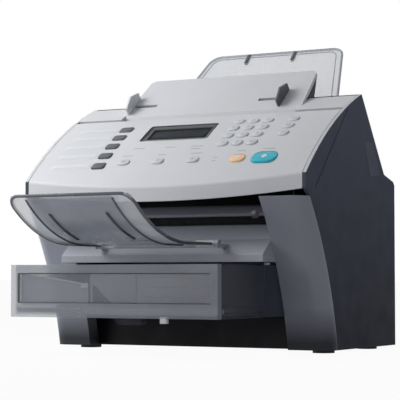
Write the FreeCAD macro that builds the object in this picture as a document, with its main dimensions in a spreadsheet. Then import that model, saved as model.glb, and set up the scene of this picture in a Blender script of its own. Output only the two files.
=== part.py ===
import FreeCAD, Part
import math
import os

import Sketcher
from FreeCAD import Placement, Rotation, Vector

# Desktop plain-paper fax machine. X runs across it, the front faces -Y and Z is up.
# The origin is on the table, under the middle of the whole machine.

doc = FreeCAD.newDocument("fax_machine")
sheet = doc.addObject("Spreadsheet::Sheet", "sizes")
worked_sheet = doc.addObject("Spreadsheet::Sheet", "worked")
nodes = {}
rows = {"sizes": 0, "worked": 0}


class Size:
    """A length, ratio or angle with the expression that drives it."""

    def __init__(self, value, text):
        self.value = value
        self.text = text

    def __add__(self, other):
        other = as_size(other)
        return Size(self.value + other.value, f"({self.text} + {other.text})")

    def __sub__(self, other):
        other = as_size(other)
        return Size(self.value - other.value, f"({self.text} - {other.text})")

    def __mul__(self, other):
        other = as_size(other)
        return Size(self.value * other.value, f"({self.text} * {other.text})")

    def __truediv__(self, other):
        other = as_size(other)
        return Size(self.value / other.value, f"({self.text} / {other.text})")

    def __neg__(self):
        return Size(-self.value, f"(0 - {self.text})")

    def __radd__(self, other):
        return as_size(other) + self

    def __rsub__(self, other):
        return as_size(other) - self

    def __rmul__(self, other):
        return as_size(other) * self

    def root(self):
        return Size(math.sqrt(self.value), f"sqrt({self.text})")


def as_size(value):
    return value if isinstance(value, Size) else Size(float(value), repr(float(value)))


def add_cell(target, name, text):
    rows[target.Name] += 1
    row = rows[target.Name]
    target.set(f"A{row}", name)
    target.set(f"B{row}", text)
    target.setAlias(f"B{row}", name)


def size(name, value):
    """A driving size: one named cell that holds a plain number."""
    add_cell(sheet, name, str(value))
    return Size(value, f"sizes.{name}")


def worked(name, result):
    """A size that follows from the driving ones, kept in the second sheet."""
    add_cell(worked_sheet, name, f"={result.text}")
    return Size(result.value, f"worked.{name}")


def bind(item, prop, value):
    item.setExpression(prop, as_size(value).text)


# Driving sizes: the case
body_width = size("body_width", 352.0)
side_wall = size("side_wall", 4.0)
skin = size("skin", 3.0)
seam = size("seam", 0.5)
foot_height = size("foot_height", 4.0)
foot_radius = size("foot_radius", 12.0)
nose_y = size("nose_y", -56.0)
nose_top = size("nose_top", 190.0)
nose_depth = size("nose_depth", 16.0)
nose_bow = size("nose_bow", 10.0)
nose_round = size("nose_round", 5.0)
nose_reach = size("nose_reach", 24.0)
ridge_y = size("ridge_y", 89.0)
ridge_z = size("ridge_z", 285.0)
panel_radius = size("panel_radius", 400.0)
slope_foot_y = size("slope_foot_y", 152.0)
slope_foot_z = size("slope_foot_z", 199.0)
rear_y = size("rear_y", 183.0)
rear_top_z = size("rear_top_z", 192.0)
rear_chamfer = size("rear_chamfer", 4.0)
groove_foot_y = size("groove_foot_y", -34.0)
groove_foot_z = size("groove_foot_z", 175.0)
groove_top_y = size("groove_top_y", 50.0)
groove_top_z = size("groove_top_z", 265.0)
groove_width = size("groove_width", 1.2)
groove_depth = size("groove_depth", 1.0)

# Driving sizes: pillars and front recess
pillar_width = size("pillar_width", 50.0)
pillar_foot_y = size("pillar_foot_y", 3.0)
pillar_top_y = size("pillar_top_y", -66.0)
pillar_top_z = size("pillar_top_z", 166.0)
pillar_radius = size("pillar_radius", 400.0)
pillar_depth = size("pillar_depth", 19.0)
pillar_round = size("pillar_round", 17.0)
lip_y = size("lip_y", -30.0)
lip_z = size("lip_z", 138.0)
shelf_y = size("shelf_y", -56.0)
shelf_z = size("shelf_z", 106.0)
bar_height = size("bar_height", 10.0)
exit_gap = size("exit_gap", 9.0)
cover_depth = size("cover_depth", 14.0)
cover_floor_z = size("cover_floor_z", 98.0)

# Driving sizes: control panel and keys, measured along the panel from the nose
panel_length = size("panel_length", 122.0)
panel_drop = size("panel_drop", 11.0)
barrel_radius = size("barrel_radius", 5.5)
pin_radius = size("pin_radius", 3.0)
pin_length = size("pin_length", 12.0)
running_fit = size("running_fit", 0.05)
board_drop = size("board_drop", 5.0)
board_thick = size("board_thick", 1.6)
key_fit = size("key_fit", 0.35)
key_proud = size("key_proud", 1.6)
key_lift = size("key_lift", 1.8)
display_x = size("display_x", -13.0)
display_at = size("display_at", 86.0)
display_width = size("display_width", 88.0)
display_height = size("display_height", 36.0)
display_border = size("display_border", 6.0)
display_thick = size("display_thick", 1.5)
pad_x = size("pad_x", 74.0)
pad_at = size("pad_at", 79.5)
pad_pitch_x = size("pad_pitch_x", 18.0)
pad_pitch = size("pad_pitch", 16.0)
pad_key_width = size("pad_key_width", 13.0)
pad_key_height = size("pad_key_height", 10.0)
side_key_x = size("side_key_x", 123.0)
quick_x = size("quick_x", -88.0)
quick_at = size("quick_at", 60.0)
quick_pitch = size("quick_pitch", 18.6)
quick_width = size("quick_width", 17.0)
quick_height = size("quick_height", 11.0)
front_row_at = size("front_row_at", 27.0)
row_key_width = size("row_key_width", 15.0)
row_key_height = size("row_key_height", 10.0)
stop_x = size("stop_x", 86.0)
stop_width = size("stop_width", 18.0)
stop_height = size("stop_height", 14.0)
start_x = size("start_x", 118.0)
start_width = size("start_width", 30.0)
start_height = size("start_height", 20.0)
quick_round = size("quick_round", 3.0)
oval_share = 0.46

# Driving sizes: document tray and guides
tray_half = size("tray_half", 116.0)
tray_top_half = size("tray_top_half", 110.0)
tray_foot_y = size("tray_foot_y", 57.0)
tray_foot_z = size("tray_foot_z", 270.0)
tray_top_y = size("tray_top_y", 116.0)
tray_top_z = size("tray_top_z", 319.0)
tray_thick = size("tray_thick", 4.0)
chute_gap = size("chute_gap", 5.5)
tray_corner = size("tray_corner", 8.0)
hood_foot_y = size("hood_foot_y", 104.0)
document_x = size("document_x", -12.0)
document_half = size("document_half", 100.0)
guide_travel = size("guide_travel", 30.0)
guide_at = size("guide_at", 22.0)
guide_length = size("guide_length", 34.0)
guide_height = size("guide_height", 15.0)
guide_shoulder = size("guide_shoulder", 9.0)
guide_thick = size("guide_thick", 2.5)
guide_slot = size("guide_slot", 5.0)
rack_height = size("rack_height", 3.0)
pinion_radius = size("pinion_radius", 8.0)
pinion_axle = size("pinion_axle", 2.5)
mesh_gap = size("mesh_gap", 0.4)

# Driving sizes: rear support
support_width = size("support_width", 176.0)
support_shoulder_width = size("support_shoulder_width", 226.0)
support_top_width = size("support_top_width", 180.0)
support_length = size("support_length", 164.0)
support_neck = size("support_neck", 30.0)
support_shoulder = size("support_shoulder", 62.0)
support_root = size("support_root", 24.0)
support_thick = size("support_thick", 2.5)
support_corner = size("support_corner", 16.0)
support_at = size("support_at", 44.0)
support_fit = size("support_fit", 0.6)
support_lean = size("support_lean", 47.0)

# Driving sizes: cassette and exit tray
cassette_gap = size("cassette_gap", 1.0)
cassette_front_y = size("cassette_front_y", -153.0)
cassette_length = size("cassette_length", 303.0)
cassette_floor_z = size("cassette_floor_z", 40.0)
cassette_height = size("cassette_height", 55.0)
cassette_wall = size("cassette_wall", 3.0)
frame_side = size("frame_side", 8.0)
frame_top = size("frame_top", 9.0)
frame_bottom = size("frame_bottom", 15.0)
window_thick = size("window_thick", 2.0)
lift_margin = size("lift_margin", 18.0)
lift_thick = size("lift_thick", 1.5)
lift_pin = size("lift_pin", 2.5)
lift_gap = size("lift_gap", 2.0)
exit_half = size("exit_half", 73.0)
exit_hinge_y = size("exit_hinge_y", -63.0)
exit_z = size("exit_z", 117.0)
exit_flat = size("exit_flat", 57.0)
exit_radius = size("exit_radius", 162.0)
exit_reach = size("exit_reach", 113.0)
exit_thick = size("exit_thick", 2.5)
exit_corner = size("exit_corner", 12.0)
exit_barrel = size("exit_barrel", 4.0)
exit_pin = size("exit_pin", 2.0)
ear_width = size("ear_width", 5.0)
flap_half = size("flap_half", 47.0)
flap_thick = size("flap_thick", 2.0)
flap_reach = size("flap_reach", 52.0)
flap_gap = size("flap_gap", 0.35)
flap_pin = size("flap_pin", 1.2)
flap_barrel = size("flap_barrel", 2.4)
flap_slot_x = size("flap_slot_x", 28.0)
flap_slot_width = size("flap_slot_width", 4.0)
flap_slot_at = size("flap_slot_at", 10.0)
flap_slot_length = size("flap_slot_length", 31.0)

# Driving sizes: chassis and what it carries
side_bay = size("side_bay", 22.0)
plate_thick = size("plate_thick", 2.0)
plate_front_y = size("plate_front_y", 30.0)
plate_nose_at = size("plate_nose_at", 16.0)
pan_height = size("pan_height", 34.0)
pan_wall = size("pan_wall", 2.5)
deck_gap = size("deck_gap", 2.0)
deck_thick = size("deck_thick", 10.0)
deck_side_gap = size("deck_side_gap", 3.5)
sensor_at = size("sensor_at", 62.0)
sensor_width = size("sensor_width", 14.0)
feed_at = size("feed_at", 36.0)
feed_radius = size("feed_radius", 7.0)
feed_shaft = size("feed_shaft", 3.0)
pickup_y = size("pickup_y", 125.0)
pickup_radius = size("pickup_radius", 13.0)
pickup_shaft = size("pickup_shaft", 4.0)
pickup_half = size("pickup_half", 30.0)
fuser_y = size("fuser_y", 2.0)
fuser_z = size("fuser_z", 146.0)
fuser_radius = size("fuser_radius", 12.0)
fuser_shaft = size("fuser_shaft", 6.0)
roller_half = size("roller_half", 110.0)
cartridge_depth = size("cartridge_depth", 48.0)
cartridge_height = size("cartridge_height", 30.0)
laser_depth = size("laser_depth", 60.0)
laser_height = size("laser_height", 34.0)
laser_case_height = size("laser_case_height", 24.0)
motor_radius = size("motor_radius", 21.0)
motor_length = size("motor_length", 14.0)
board_gap = size("board_gap", 8.0)
board_length = size("board_length", 100.0)
board_height = size("board_height", 120.0)
screw_radius = size("screw_radius", 1.5)
screw_head = size("screw_head", 3.4)
screw_head_high = size("screw_head_high", 1.8)
screw_hole_gap = size("screw_hole_gap", 0.3)
socket_width = size("socket_width", 44.0)
socket_depth = size("socket_depth", 18.0)
socket_height = size("socket_height", 22.0)
jack_width = size("jack_width", 12.0)
jack_height = size("jack_height", 10.0)
inlet_width = size("inlet_width", 32.0)
inlet_hole_width = size("inlet_hole_width", 24.0)
inlet_hole_height = size("inlet_hole_height", 16.0)
louvre_height = size("louvre_height", 3.0)
louvre_pitch = size("louvre_pitch", 8.0)
louvre_count = 6
chip_size = size("chip_size", 16.0)
chip_pitch = size("chip_pitch", 25.0)
chip_height = size("chip_height", 2.6)

# Places that follow from them
half = worked("half", body_width / 2)
cover_half = worked("cover_half", half - side_wall)
inner_half = worked("inner_half", cover_half - seam)
pillar_inner = worked("pillar_inner", half - pillar_width)
plate_half = worked("plate_half", cover_half - side_bay)
chord_y = worked("chord_y", ridge_y - nose_y)
chord_z = worked("chord_z", ridge_z - nose_top)
chord = worked("chord", (chord_y * chord_y + chord_z * chord_z).root())
chord_sag = worked("chord_sag", (panel_radius * panel_radius - chord * chord / 4).root())
cassette_half = worked("cassette_half", pillar_inner - cassette_gap)
lift_half = worked("lift_half", cassette_half - lift_margin)
cassette_rear_y = worked("cassette_rear_y", cassette_front_y + cassette_length)
cassette_top_z = worked("cassette_top_z", cassette_floor_z + cassette_height)


class Slope:
    """A frame tilted about X: v runs up the slope and n stands square on it."""

    def __init__(self, name, y, z, rise_y, rise_z):
        run = worked(f"{name}_run", (rise_y * rise_y + rise_z * rise_z).root())
        self.y = worked(f"{name}_y", as_size(y))
        self.z = worked(f"{name}_z", as_size(z))
        self.cos = worked(f"{name}_cos", rise_y / run)
        self.sin = worked(f"{name}_sin", rise_z / run)
        angle = math.degrees(math.atan2(rise_z.value, rise_y.value))
        self.angle = Size(angle, f"atan2({rise_z.text}; {rise_y.text})")

    def point(self, v, n):
        return (self.y + v * self.cos - n * self.sin, self.z + v * self.sin + n * self.cos)

    def set(self, item, x=0.0, v=0.0, n=0.0):
        y, z = self.point(as_size(v), as_size(n))
        item.Placement = Placement(Vector(0, 0, 0), Rotation(Vector(1, 0, 0), self.angle.value))
        bind(item, "Placement.Base.x", x)
        bind(item, "Placement.Base.y", y)
        bind(item, "Placement.Base.z", z)
        bind(item, "Placement.Rotation.Angle", self.angle)
        return item


def corner(a, b, rounded=None, arc=None):
    """One corner of an outline. arc is the radius of the stretch to the next corner,
    positive where its centre is on the left of the way round."""
    return {
        "a": as_size(a),
        "b": as_size(b),
        "rounded": None if rounded is None else as_size(rounded),
        "arc": None if arc is None else as_size(arc),
    }


def plain(points):
    return [corner(a, b) for a, b in points]


def rectangle(left, bottom, right, top, rounded=None):
    ends = [(left, bottom), (right, bottom), (right, top), (left, top)]
    return [corner(a, b, rounded) for a, b in ends]


def arc_between(start, end, radius):
    """The arc's geometry, and whether it runs from start to end."""
    middle = (start + end) / 2
    along = end - start
    left = Vector(-along.y, along.x, 0).normalize()
    reach = math.sqrt(radius * radius - along.Length ** 2 / 4)
    centre = middle + left * math.copysign(reach, radius)
    first, last = (start, end) if radius > 0 else (end, start)
    angles = [math.atan2(p.y - centre.y, p.x - centre.x) for p in (first, last)]
    circle = Part.Circle(centre, Vector(0, 0, 1), abs(radius))
    return Part.ArcOfCircle(circle, angles[0], angles[1]), radius > 0


def rounding(before, at, after, radius):
    """Where a rounded corner starts and ends, and its radius as signed by its side."""
    back = (before - at).normalize()
    ahead = (after - at).normalize()
    reach = radius / math.tan(back.getAngle(ahead) / 2)
    turn = (at - before).cross(after - at).z
    return at + back * reach, at + ahead * reach, math.copysign(radius, turn)


def draw(sketch, corners):
    """Adds one closed outline to a sketch, each corner tied to its two sizes."""
    count = len(corners)
    spots = [Vector(c["a"].value, c["b"].value, 0) for c in corners]
    rounds = {}
    for i, item in enumerate(corners):
        if item["rounded"] is not None:
            radius = item["rounded"].value
            rounds[i] = rounding(spots[i - 1], spots[i], spots[(i + 1) % count], radius)
    rules = []
    sizes = []

    def tie(rule, value):
        rules.append(rule)
        sizes.append((len(rules) - 1, value))

    starts, ends = {}, {}
    for i, item in enumerate(corners):
        begin = rounds[i][1] if i in rounds else spots[i]
        after = (i + 1) % count
        finish = rounds[after][0] if after in rounds else spots[after]
        if item["arc"] is None:
            index = sketch.addGeometry(Part.LineSegment(begin, finish), False)
            starts[i], ends[i] = (index, 1), (index, 2)
        else:
            shape, forward = arc_between(begin, finish, item["arc"].value)
            index = sketch.addGeometry(shape, False)
            starts[i], ends[i] = ((index, 1), (index, 2)) if forward else ((index, 2), (index, 1))
            radius = item["arc"] if forward else -item["arc"]
            tie(Sketcher.Constraint("Radius", index, radius.value), radius)
    for i, item in enumerate(corners):
        before = ends[(i - 1) % count]
        if i in rounds:
            first, last, radius = rounds[i]
            shape, forward = arc_between(first, last, radius)
            index = sketch.addGeometry(shape, False)
            entry, leave = (1, 2) if forward else (2, 1)
            spot = sketch.addGeometry(Part.Point(spots[i]), True)
            rules.append(Sketcher.Constraint("Tangent", *before, index, entry))
            rules.append(Sketcher.Constraint("Tangent", index, leave, *starts[i]))
            rules.append(Sketcher.Constraint("PointOnObject", spot, 1, before[0]))
            rules.append(Sketcher.Constraint("PointOnObject", spot, 1, starts[i][0]))
            tie(Sketcher.Constraint("Radius", index, item["rounded"].value), item["rounded"])
            place = (spot, 1)
        else:
            rules.append(Sketcher.Constraint("Coincident", *before, *starts[i]))
            place = starts[i]
        tie(Sketcher.Constraint("DistanceX", -1, 1, *place, spots[i].x), item["a"])
        tie(Sketcher.Constraint("DistanceY", -1, 1, *place, spots[i].y), item["b"])
    indexes = sketch.addConstraint(rules)
    for number, value in sizes:
        bind(sketch, f"Constraints[{indexes[number]}]", value)


def add_sketch(body, name, plane, offset, outlines):
    sketch = body.newObject("Sketcher::SketchObject", name)
    support = [item for item in body.Origin.OriginFeatures if item.Role == plane]
    sketch.AttachmentSupport = [(support[0], "")]
    sketch.MapMode = "FlatFace"
    bind(sketch, "AttachmentOffset.Base.z", offset)
    for outline in outlines:
        draw(sketch, outline)
    return sketch


def prism(name, plane, start, length, *outlines):
    """A body padded from one sketch. The first outline is the outside, the others are holes.
    It starts at the given X, Y or Z for the planes YZ, XZ and XY."""
    offset = -(as_size(start) + length) if plane == "XZ" else as_size(start)
    body = doc.addObject("PartDesign::Body", name)
    sketch = add_sketch(body, f"{name}_sketch", f"{plane}_Plane", offset, outlines)
    pad = body.newObject("PartDesign::Pad", f"{name}_pad")
    pad.Profile = sketch
    bind(pad, "Length", length)
    return body


def across(name, reach, *outlines):
    """A prism along X, as far to the left as to the right."""
    return prism(name, "YZ", -as_size(reach), as_size(reach) * 2, *outlines)


def box(name, x, y, z):
    """A box between pairs of X, Y and Z."""
    item = doc.addObject("Part::Box", name)
    for prop, axis, (low, high) in zip(("Length", "Width", "Height"), "xyz", (x, y, z)):
        bind(item, prop, as_size(high) - low)
        bind(item, f"Placement.Base.{axis}", low)
    return item


def sloped_box(name, slope, x, v, n):
    item = doc.addObject("Part::Box", name)
    for prop, (low, high) in zip(("Length", "Width", "Height"), (x, v, n)):
        bind(item, prop, as_size(high) - low)
    return slope.set(item, x[0], v[0], n[0])


def rod(name, x, y, z, radius):
    """A cylinder along X between a pair of X."""
    item = doc.addObject("Part::Cylinder", name)
    bind(item, "Radius", radius)
    bind(item, "Height", as_size(x[1]) - x[0])
    item.Placement = Placement(Vector(0, 0, 0), Rotation(Vector(0, 1, 0), 90))
    bind(item, "Placement.Base.x", x[0])
    bind(item, "Placement.Base.y", y)
    bind(item, "Placement.Base.z", z)
    return item


def post(name, x, y, z, radius):
    """A cylinder along Z between a pair of Z."""
    item = doc.addObject("Part::Cylinder", name)
    bind(item, "Radius", radius)
    bind(item, "Height", as_size(z[1]) - z[0])
    bind(item, "Placement.Base.x", x)
    bind(item, "Placement.Base.y", y)
    bind(item, "Placement.Base.z", z[0])
    return item


def stud(name, x, y, z, radius):
    """A cylinder along Y between a pair of Y."""
    item = doc.addObject("Part::Cylinder", name)
    bind(item, "Radius", radius)
    bind(item, "Height", as_size(y[1]) - y[0])
    item.Placement = Placement(Vector(0, 0, 0), Rotation(Vector(1, 0, 0), -90))
    bind(item, "Placement.Base.x", x)
    bind(item, "Placement.Base.y", y[0])
    bind(item, "Placement.Base.z", z)
    return item


def fuse(name, items):
    item = doc.addObject("Part::MultiFuse", name)
    item.Shapes = items
    return item


def group(name, items):
    item = doc.addObject("Part::Compound", name)
    item.Links = items
    return item


def cut(name, base, tools):
    item = doc.addObject("Part::Cut", name)
    item.Base = base
    item.Tool = tools[0] if len(tools) == 1 else group(f"{name}_tools", tools)
    return item


def common(name, base, tool):
    item = doc.addObject("Part::Common", name)
    item.Base = base
    item.Tool = tool
    return item


def round_edges(name, base, radius, wanted):
    """A fillet on each edge that the test picks."""
    doc.recompute()
    item = doc.addObject("Part::Fillet", name)
    item.Base = base
    edges = [i for i, edge in enumerate(base.Shape.Edges, 1) if wanted(edge)]
    item.Edges = [(i, radius.value, radius.value) for i in edges]
    return item


def keep(label, item):
    item.Label = label
    nodes[label] = item
    return item


def both_sides(reach_in, reach_out):
    """The pairs of X for a piece and its mirror image: left, then right."""
    return {"left": (-as_size(reach_out), -as_size(reach_in)), "right": (reach_in, reach_out)}


panel = Slope("panel", nose_y, nose_top, chord_y, chord_z)
groove = Slope("groove", groove_foot_y, groove_foot_z, groove_top_y - groove_foot_y,
               groove_top_z - groove_foot_z)
tray = Slope("tray", tray_foot_y, tray_foot_z, tray_top_y - tray_foot_y, tray_top_z - tray_foot_z)


def crown(v):
    """How far the panel's curved face stands above its chord."""
    off = v - chord / 2
    return (panel_radius * panel_radius - off * off).root() - chord_sag


hinge_crown = worked("hinge_crown", crown(panel_length))
hinge_n = worked("hinge_n", hinge_crown - barrel_radius)
hinge_point = panel.point(panel_length, hinge_n)
hinge_y = worked("hinge_y", hinge_point[0])
hinge_z = worked("hinge_z", hinge_point[1])


def front_curve(back, foot, top):
    """The two corners of the pillars' hollow front curve, set back by a given depth."""
    return [
        corner(pillar_top_y + back, top, arc=-pillar_radius),
        corner(pillar_foot_y + back, foot),
    ]


def side_outline():
    nose_low = nose_top - nose_depth
    return [
        corner(rear_y, foot_height),
        corner(rear_y, rear_top_z - rear_chamfer),
        corner(rear_y - rear_chamfer, rear_top_z),
        corner(slope_foot_y, slope_foot_z),
        corner(ridge_y, ridge_z, arc=panel_radius),
        corner(nose_y, nose_top),
        corner(nose_y, nose_low),
        *front_curve(pillar_depth + seam, foot_height, pillar_top_z),
    ]


def make_side_covers():
    for side, (low, high) in both_sides(cover_half, half).items():
        plate = prism(f"side_plate_{side}", "YZ", low, side_wall, side_outline())
        end = cover_half if side == "right" else -(cover_half + side_wall / 2)
        hole = rod(f"side_pin_hole_{side}", (end, end + side_wall / 2), hinge_y, hinge_z, pin_radius)
        length = (groove_top_z - groove_foot_z) / groove.sin
        x = (half - groove_depth, half + groove_depth) if side == "right" else (
            -half - groove_depth, -half + groove_depth)
        line = sloped_box(f"side_groove_{side}", groove, x, (0.0, length),
                          (-groove_width / 2, groove_width / 2))
        keep(f"side_cover_{side}", cut(f"cover_{side}", plate, [hole, line]))


def make_panel_pins():
    pins = []
    for side, (low, high) in both_sides(cover_half - pin_length, cover_half + side_wall / 2).items():
        pins.append(rod(f"panel_pin_{side}", (low, high), hinge_y, hinge_z, pin_radius))
    keep("panel_pins", group("panel_pin_pair", pins))


def pillar_block(name, x, inset, back, radius):
    """A pillar's full form, or the hollow in it that leaves a skin of the given inset."""
    foot = foot_height + inset
    top = pillar_top_z - inset
    rear_top, rear_foot = front_curve(back, foot, top)
    outline = front_curve(inset, foot, top)
    outline.append(corner(rear_foot["a"], foot, arc=pillar_radius))
    outline.append(corner(rear_top["a"], top))
    solid = prism(name, "YZ", x[0], x[1] - x[0], outline)
    outer_x = max(x[0].value, x[1].value, key=abs)
    middle_y = (outline[0]["a"].value + outline[1]["a"].value + back.value - inset.value) / 2

    def outer_front(edge):
        bounds = edge.BoundBox
        flat = abs(bounds.XMin - outer_x) < 0.01 and bounds.XLength < 0.01
        return flat and bounds.ZLength > top.value / 2 and bounds.Center.y < middle_y

    return round_edges(f"{name}_round", solid, radius, outer_front)


def make_pillars():
    for side, (low, high) in both_sides(pillar_inner, half).items():
        solid = pillar_block(f"pillar_solid_{side}", (low, high), as_size(0.0), pillar_depth,
                             pillar_round)
        cavity = pillar_block(f"pillar_cavity_{side}", (low + skin, high - skin), skin,
                              pillar_depth + pillar_round, pillar_round - skin)
        keep(f"front_pillar_{side}", cut(f"pillar_{side}", solid, [cavity]))


def make_rear_cover():
    run = worked("rear_run", ((slope_foot_y - ridge_y) * (slope_foot_y - ridge_y)
                              + (ridge_z - slope_foot_z) * (ridge_z - slope_foot_z)).root())
    in_y = skin * (ridge_z - slope_foot_z) / run
    in_z = skin * (slope_foot_y - ridge_y) / run
    shell = across("rear_shell", cover_half, plain([
        (rear_y, foot_height),
        (rear_y, rear_top_z - rear_chamfer),
        (rear_y - rear_chamfer, rear_top_z),
        (slope_foot_y, slope_foot_z),
        (ridge_y, ridge_z),
        (ridge_y - in_y, ridge_z - in_z),
        (slope_foot_y - in_y, slope_foot_z - skin),
        (rear_y - rear_chamfer - skin, rear_top_z - skin),
        (rear_y - skin, rear_top_z - rear_chamfer - skin),
        (rear_y - skin, foot_height),
    ]))
    hood_start = guide_at + pinion_radius + mesh_gap + rack_height + skin
    drop = (hood_foot_y - ridge_y) * (ridge_z - slope_foot_z) / (slope_foot_y - ridge_y)
    foot = tray.point(hood_start, -tray_thick)
    top = tray.point((tray_top_z - tray_foot_z) / tray.sin - tray_corner / 2, -tray_thick)
    hood = across("rear_hood", tray_top_half - seam * 4, plain([
        (foot[0], foot[1]),
        (ridge_y - in_y / 2, ridge_z - in_z),
        (hood_foot_y - in_y / 2, ridge_z - drop - in_z / 2),
        (top[0] + skin, top[1]),
        (top[0], top[1]),
    ]))
    socket_half = support_width / 2 + support_fit + skin
    socket = sloped_box("support_socket", support, (-socket_half, socket_half),
                        (-support_root - skin, skin / 2),
                        (-support_thick / 2 - support_fit - skin, support_thick / 2 + support_fit + skin))
    outside = across("support_socket_limit", socket_half + skin, plain([
        (ridge_y - in_y / 2, ridge_z - in_z),
        (ridge_y - run, ridge_z - in_z),
        (ridge_y - run, foot_height),
        (slope_foot_y - in_y / 2, foot_height),
        (slope_foot_y - in_y / 2, slope_foot_z - in_z),
    ]))
    inner_socket = common("support_socket_inside", socket, outside)
    slot_half = support_width / 2 + support_fit
    slot = sloped_box("support_slot", support, (-slot_half, slot_half), (-support_root, support_root),
                      (-support_thick / 2 - support_fit, support_thick / 2 + support_fit))
    cuts = [slot]
    for i in range(louvre_count):
        low = rear_top_z - rear_chamfer - louvre_pitch * (i + 2)
        x = (-plate_half + louvre_pitch, -louvre_pitch)
        cuts.append(box(f"louvre_{i}", x, (rear_y - skin * 2, rear_y + skin), (low, low + louvre_height)))
    through = (rear_y - skin * 2, rear_y + skin)
    for name, middle in jack_places().items():
        cuts.append(box(f"rear_{name}_hole", around(middle, jack_width, seam), through,
                        around(socket_z(), jack_height, seam)))
    cuts.append(box("rear_inlet_hole", around(inlet_x(), inlet_hole_width, seam), through,
                    around(socket_z(), inlet_hole_height, seam)))
    for i, (x, z) in enumerate(screw_places()):
        cuts.append(stud(f"rear_screw_hole_{i}", x, through, z, screw_radius + screw_hole_gap))
    keep("rear_cover", cut("rear", fuse("rear_solid", [shell, hood, inner_socket]), cuts))


def screw_places():
    low = foot_height + pan_height / 2
    high = cassette_top_z + pan_height
    return [(x, z) for x in (-plate_half, plate_half) for z in (low, high)]


def socket_z():
    return foot_height + pan_wall + socket_height


def inlet_x():
    return socket_width - plate_half


def jack_middle():
    return plate_half - socket_width


def jack_places():
    return {"line_jack": jack_middle() - jack_width, "phone_jack": jack_middle() + jack_width}


def around(middle, wide, gap=0.0):
    """The pair of places half a width and a gap to either side of a middle."""
    reach = wide / 2 + gap
    return middle - reach, middle + reach


def make_sockets():
    y = (rear_y - skin - socket_depth, rear_y - skin)
    mouth_y = (y[0] + skin, y[1] + skin)
    z = around(socket_z(), socket_height)
    jacks = box("jack_block", around(jack_middle(), socket_width), y, z)
    holes = []
    for name, x in jack_places().items():
        holes.append(box(f"{name}_hole", around(x, jack_width), mouth_y, around(socket_z(), jack_height)))
    inlet = box("inlet_block", around(inlet_x(), inlet_width), y, z)
    mouth = box("inlet_mouth", around(inlet_x(), inlet_hole_width), mouth_y,
                around(socket_z(), inlet_hole_height))
    pieces = [cut("line_sockets", jacks, holes), cut("power_inlet", inlet, [mouth])]
    keep("rear_sockets", group("socket_set", pieces))


def make_screws():
    screws = []
    for i, (x, z) in enumerate(screw_places()):
        shank = stud(f"screw_shank_{i}", x, (rear_y - skin * 3, rear_y), z, screw_radius)
        head = stud(f"screw_head_{i}", x, (rear_y, rear_y + screw_head_high), z, screw_head)
        screws.append(fuse(f"screw_{i}", [shank, head]))
    keep("case_screws", group("screw_set", screws))


def make_feet():
    feet = []
    spots = {"front": plate_front_y + foot_radius, "rear": rear_y - foot_radius * 2}
    for end, y in spots.items():
        for side, x in (("left", -plate_half), ("right", plate_half)):
            feet.append(post(f"foot_{end}_{side}", x, y, (0.0, foot_height), foot_radius))
    keep("feet", group("foot_set", feet))


def make_base_pan():
    y = (plate_front_y - pan_wall, rear_y - skin - seam)
    top = foot_height + pan_height
    outer = box("pan_outer", (-cover_half, cover_half), y, (foot_height, top))
    inner = box("pan_inner", (-cover_half + pan_wall, cover_half - pan_wall),
                (y[0] + pan_wall, y[1] - pan_wall), (foot_height + pan_wall, top + pan_wall))
    rails = []
    for side, x in both_sides(cassette_half - frame_side * 2, cassette_half).items():
        rails.append(box(f"rail_{side}", x, (y[0] + pan_wall / 2, y[1] - pan_wall / 2),
                         (foot_height + pan_wall / 2, cassette_floor_z - seam)))
    for side, x in both_sides(pillar_inner + skin + seam, half - pillar_round).items():
        rails.append(box(f"pan_toe_{side}", x, (pillar_foot_y + pillar_depth / 2, y[0] + pan_wall / 2),
                         (foot_height + skin, foot_height + pillar_depth)))
    holes = []
    for i, (x, z) in enumerate(screw_places()):
        if i % 2 == 0:
            holes.append(stud(f"pan_screw_hole_{i}", x, (rear_y - skin * 4, rear_y), z,
                              screw_radius + screw_hole_gap))
    gap_y = (rear_y - skin - socket_depth - seam, rear_y)
    gap_z = (socket_z() - socket_height / 2 - seam, top + pan_wall)
    holes.append(box("pan_jack_gap", around(jack_middle(), socket_width, seam), gap_y, gap_z))
    holes.append(box("pan_inlet_gap", around(inlet_x(), inlet_width, seam), gap_y, gap_z))
    shell = cut("pan_shell", outer, [inner])
    keep("base_pan", cut("pan", fuse("pan_solid", [shell, *rails]), holes))


deck_top = worked("deck_top", -(panel_drop + deck_gap))
deck_low = worked("deck_low", deck_top - deck_thick)
feed_n = worked("feed_n", deck_top - feed_radius + deck_gap / 2)
feed_point = panel.point(feed_at, feed_n)
feed_y = worked("feed_y", feed_point[0])
feed_z = worked("feed_z", feed_point[1])
pickup_z = worked("pickup_z", cassette_top_z + pickup_radius + deck_gap)


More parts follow.
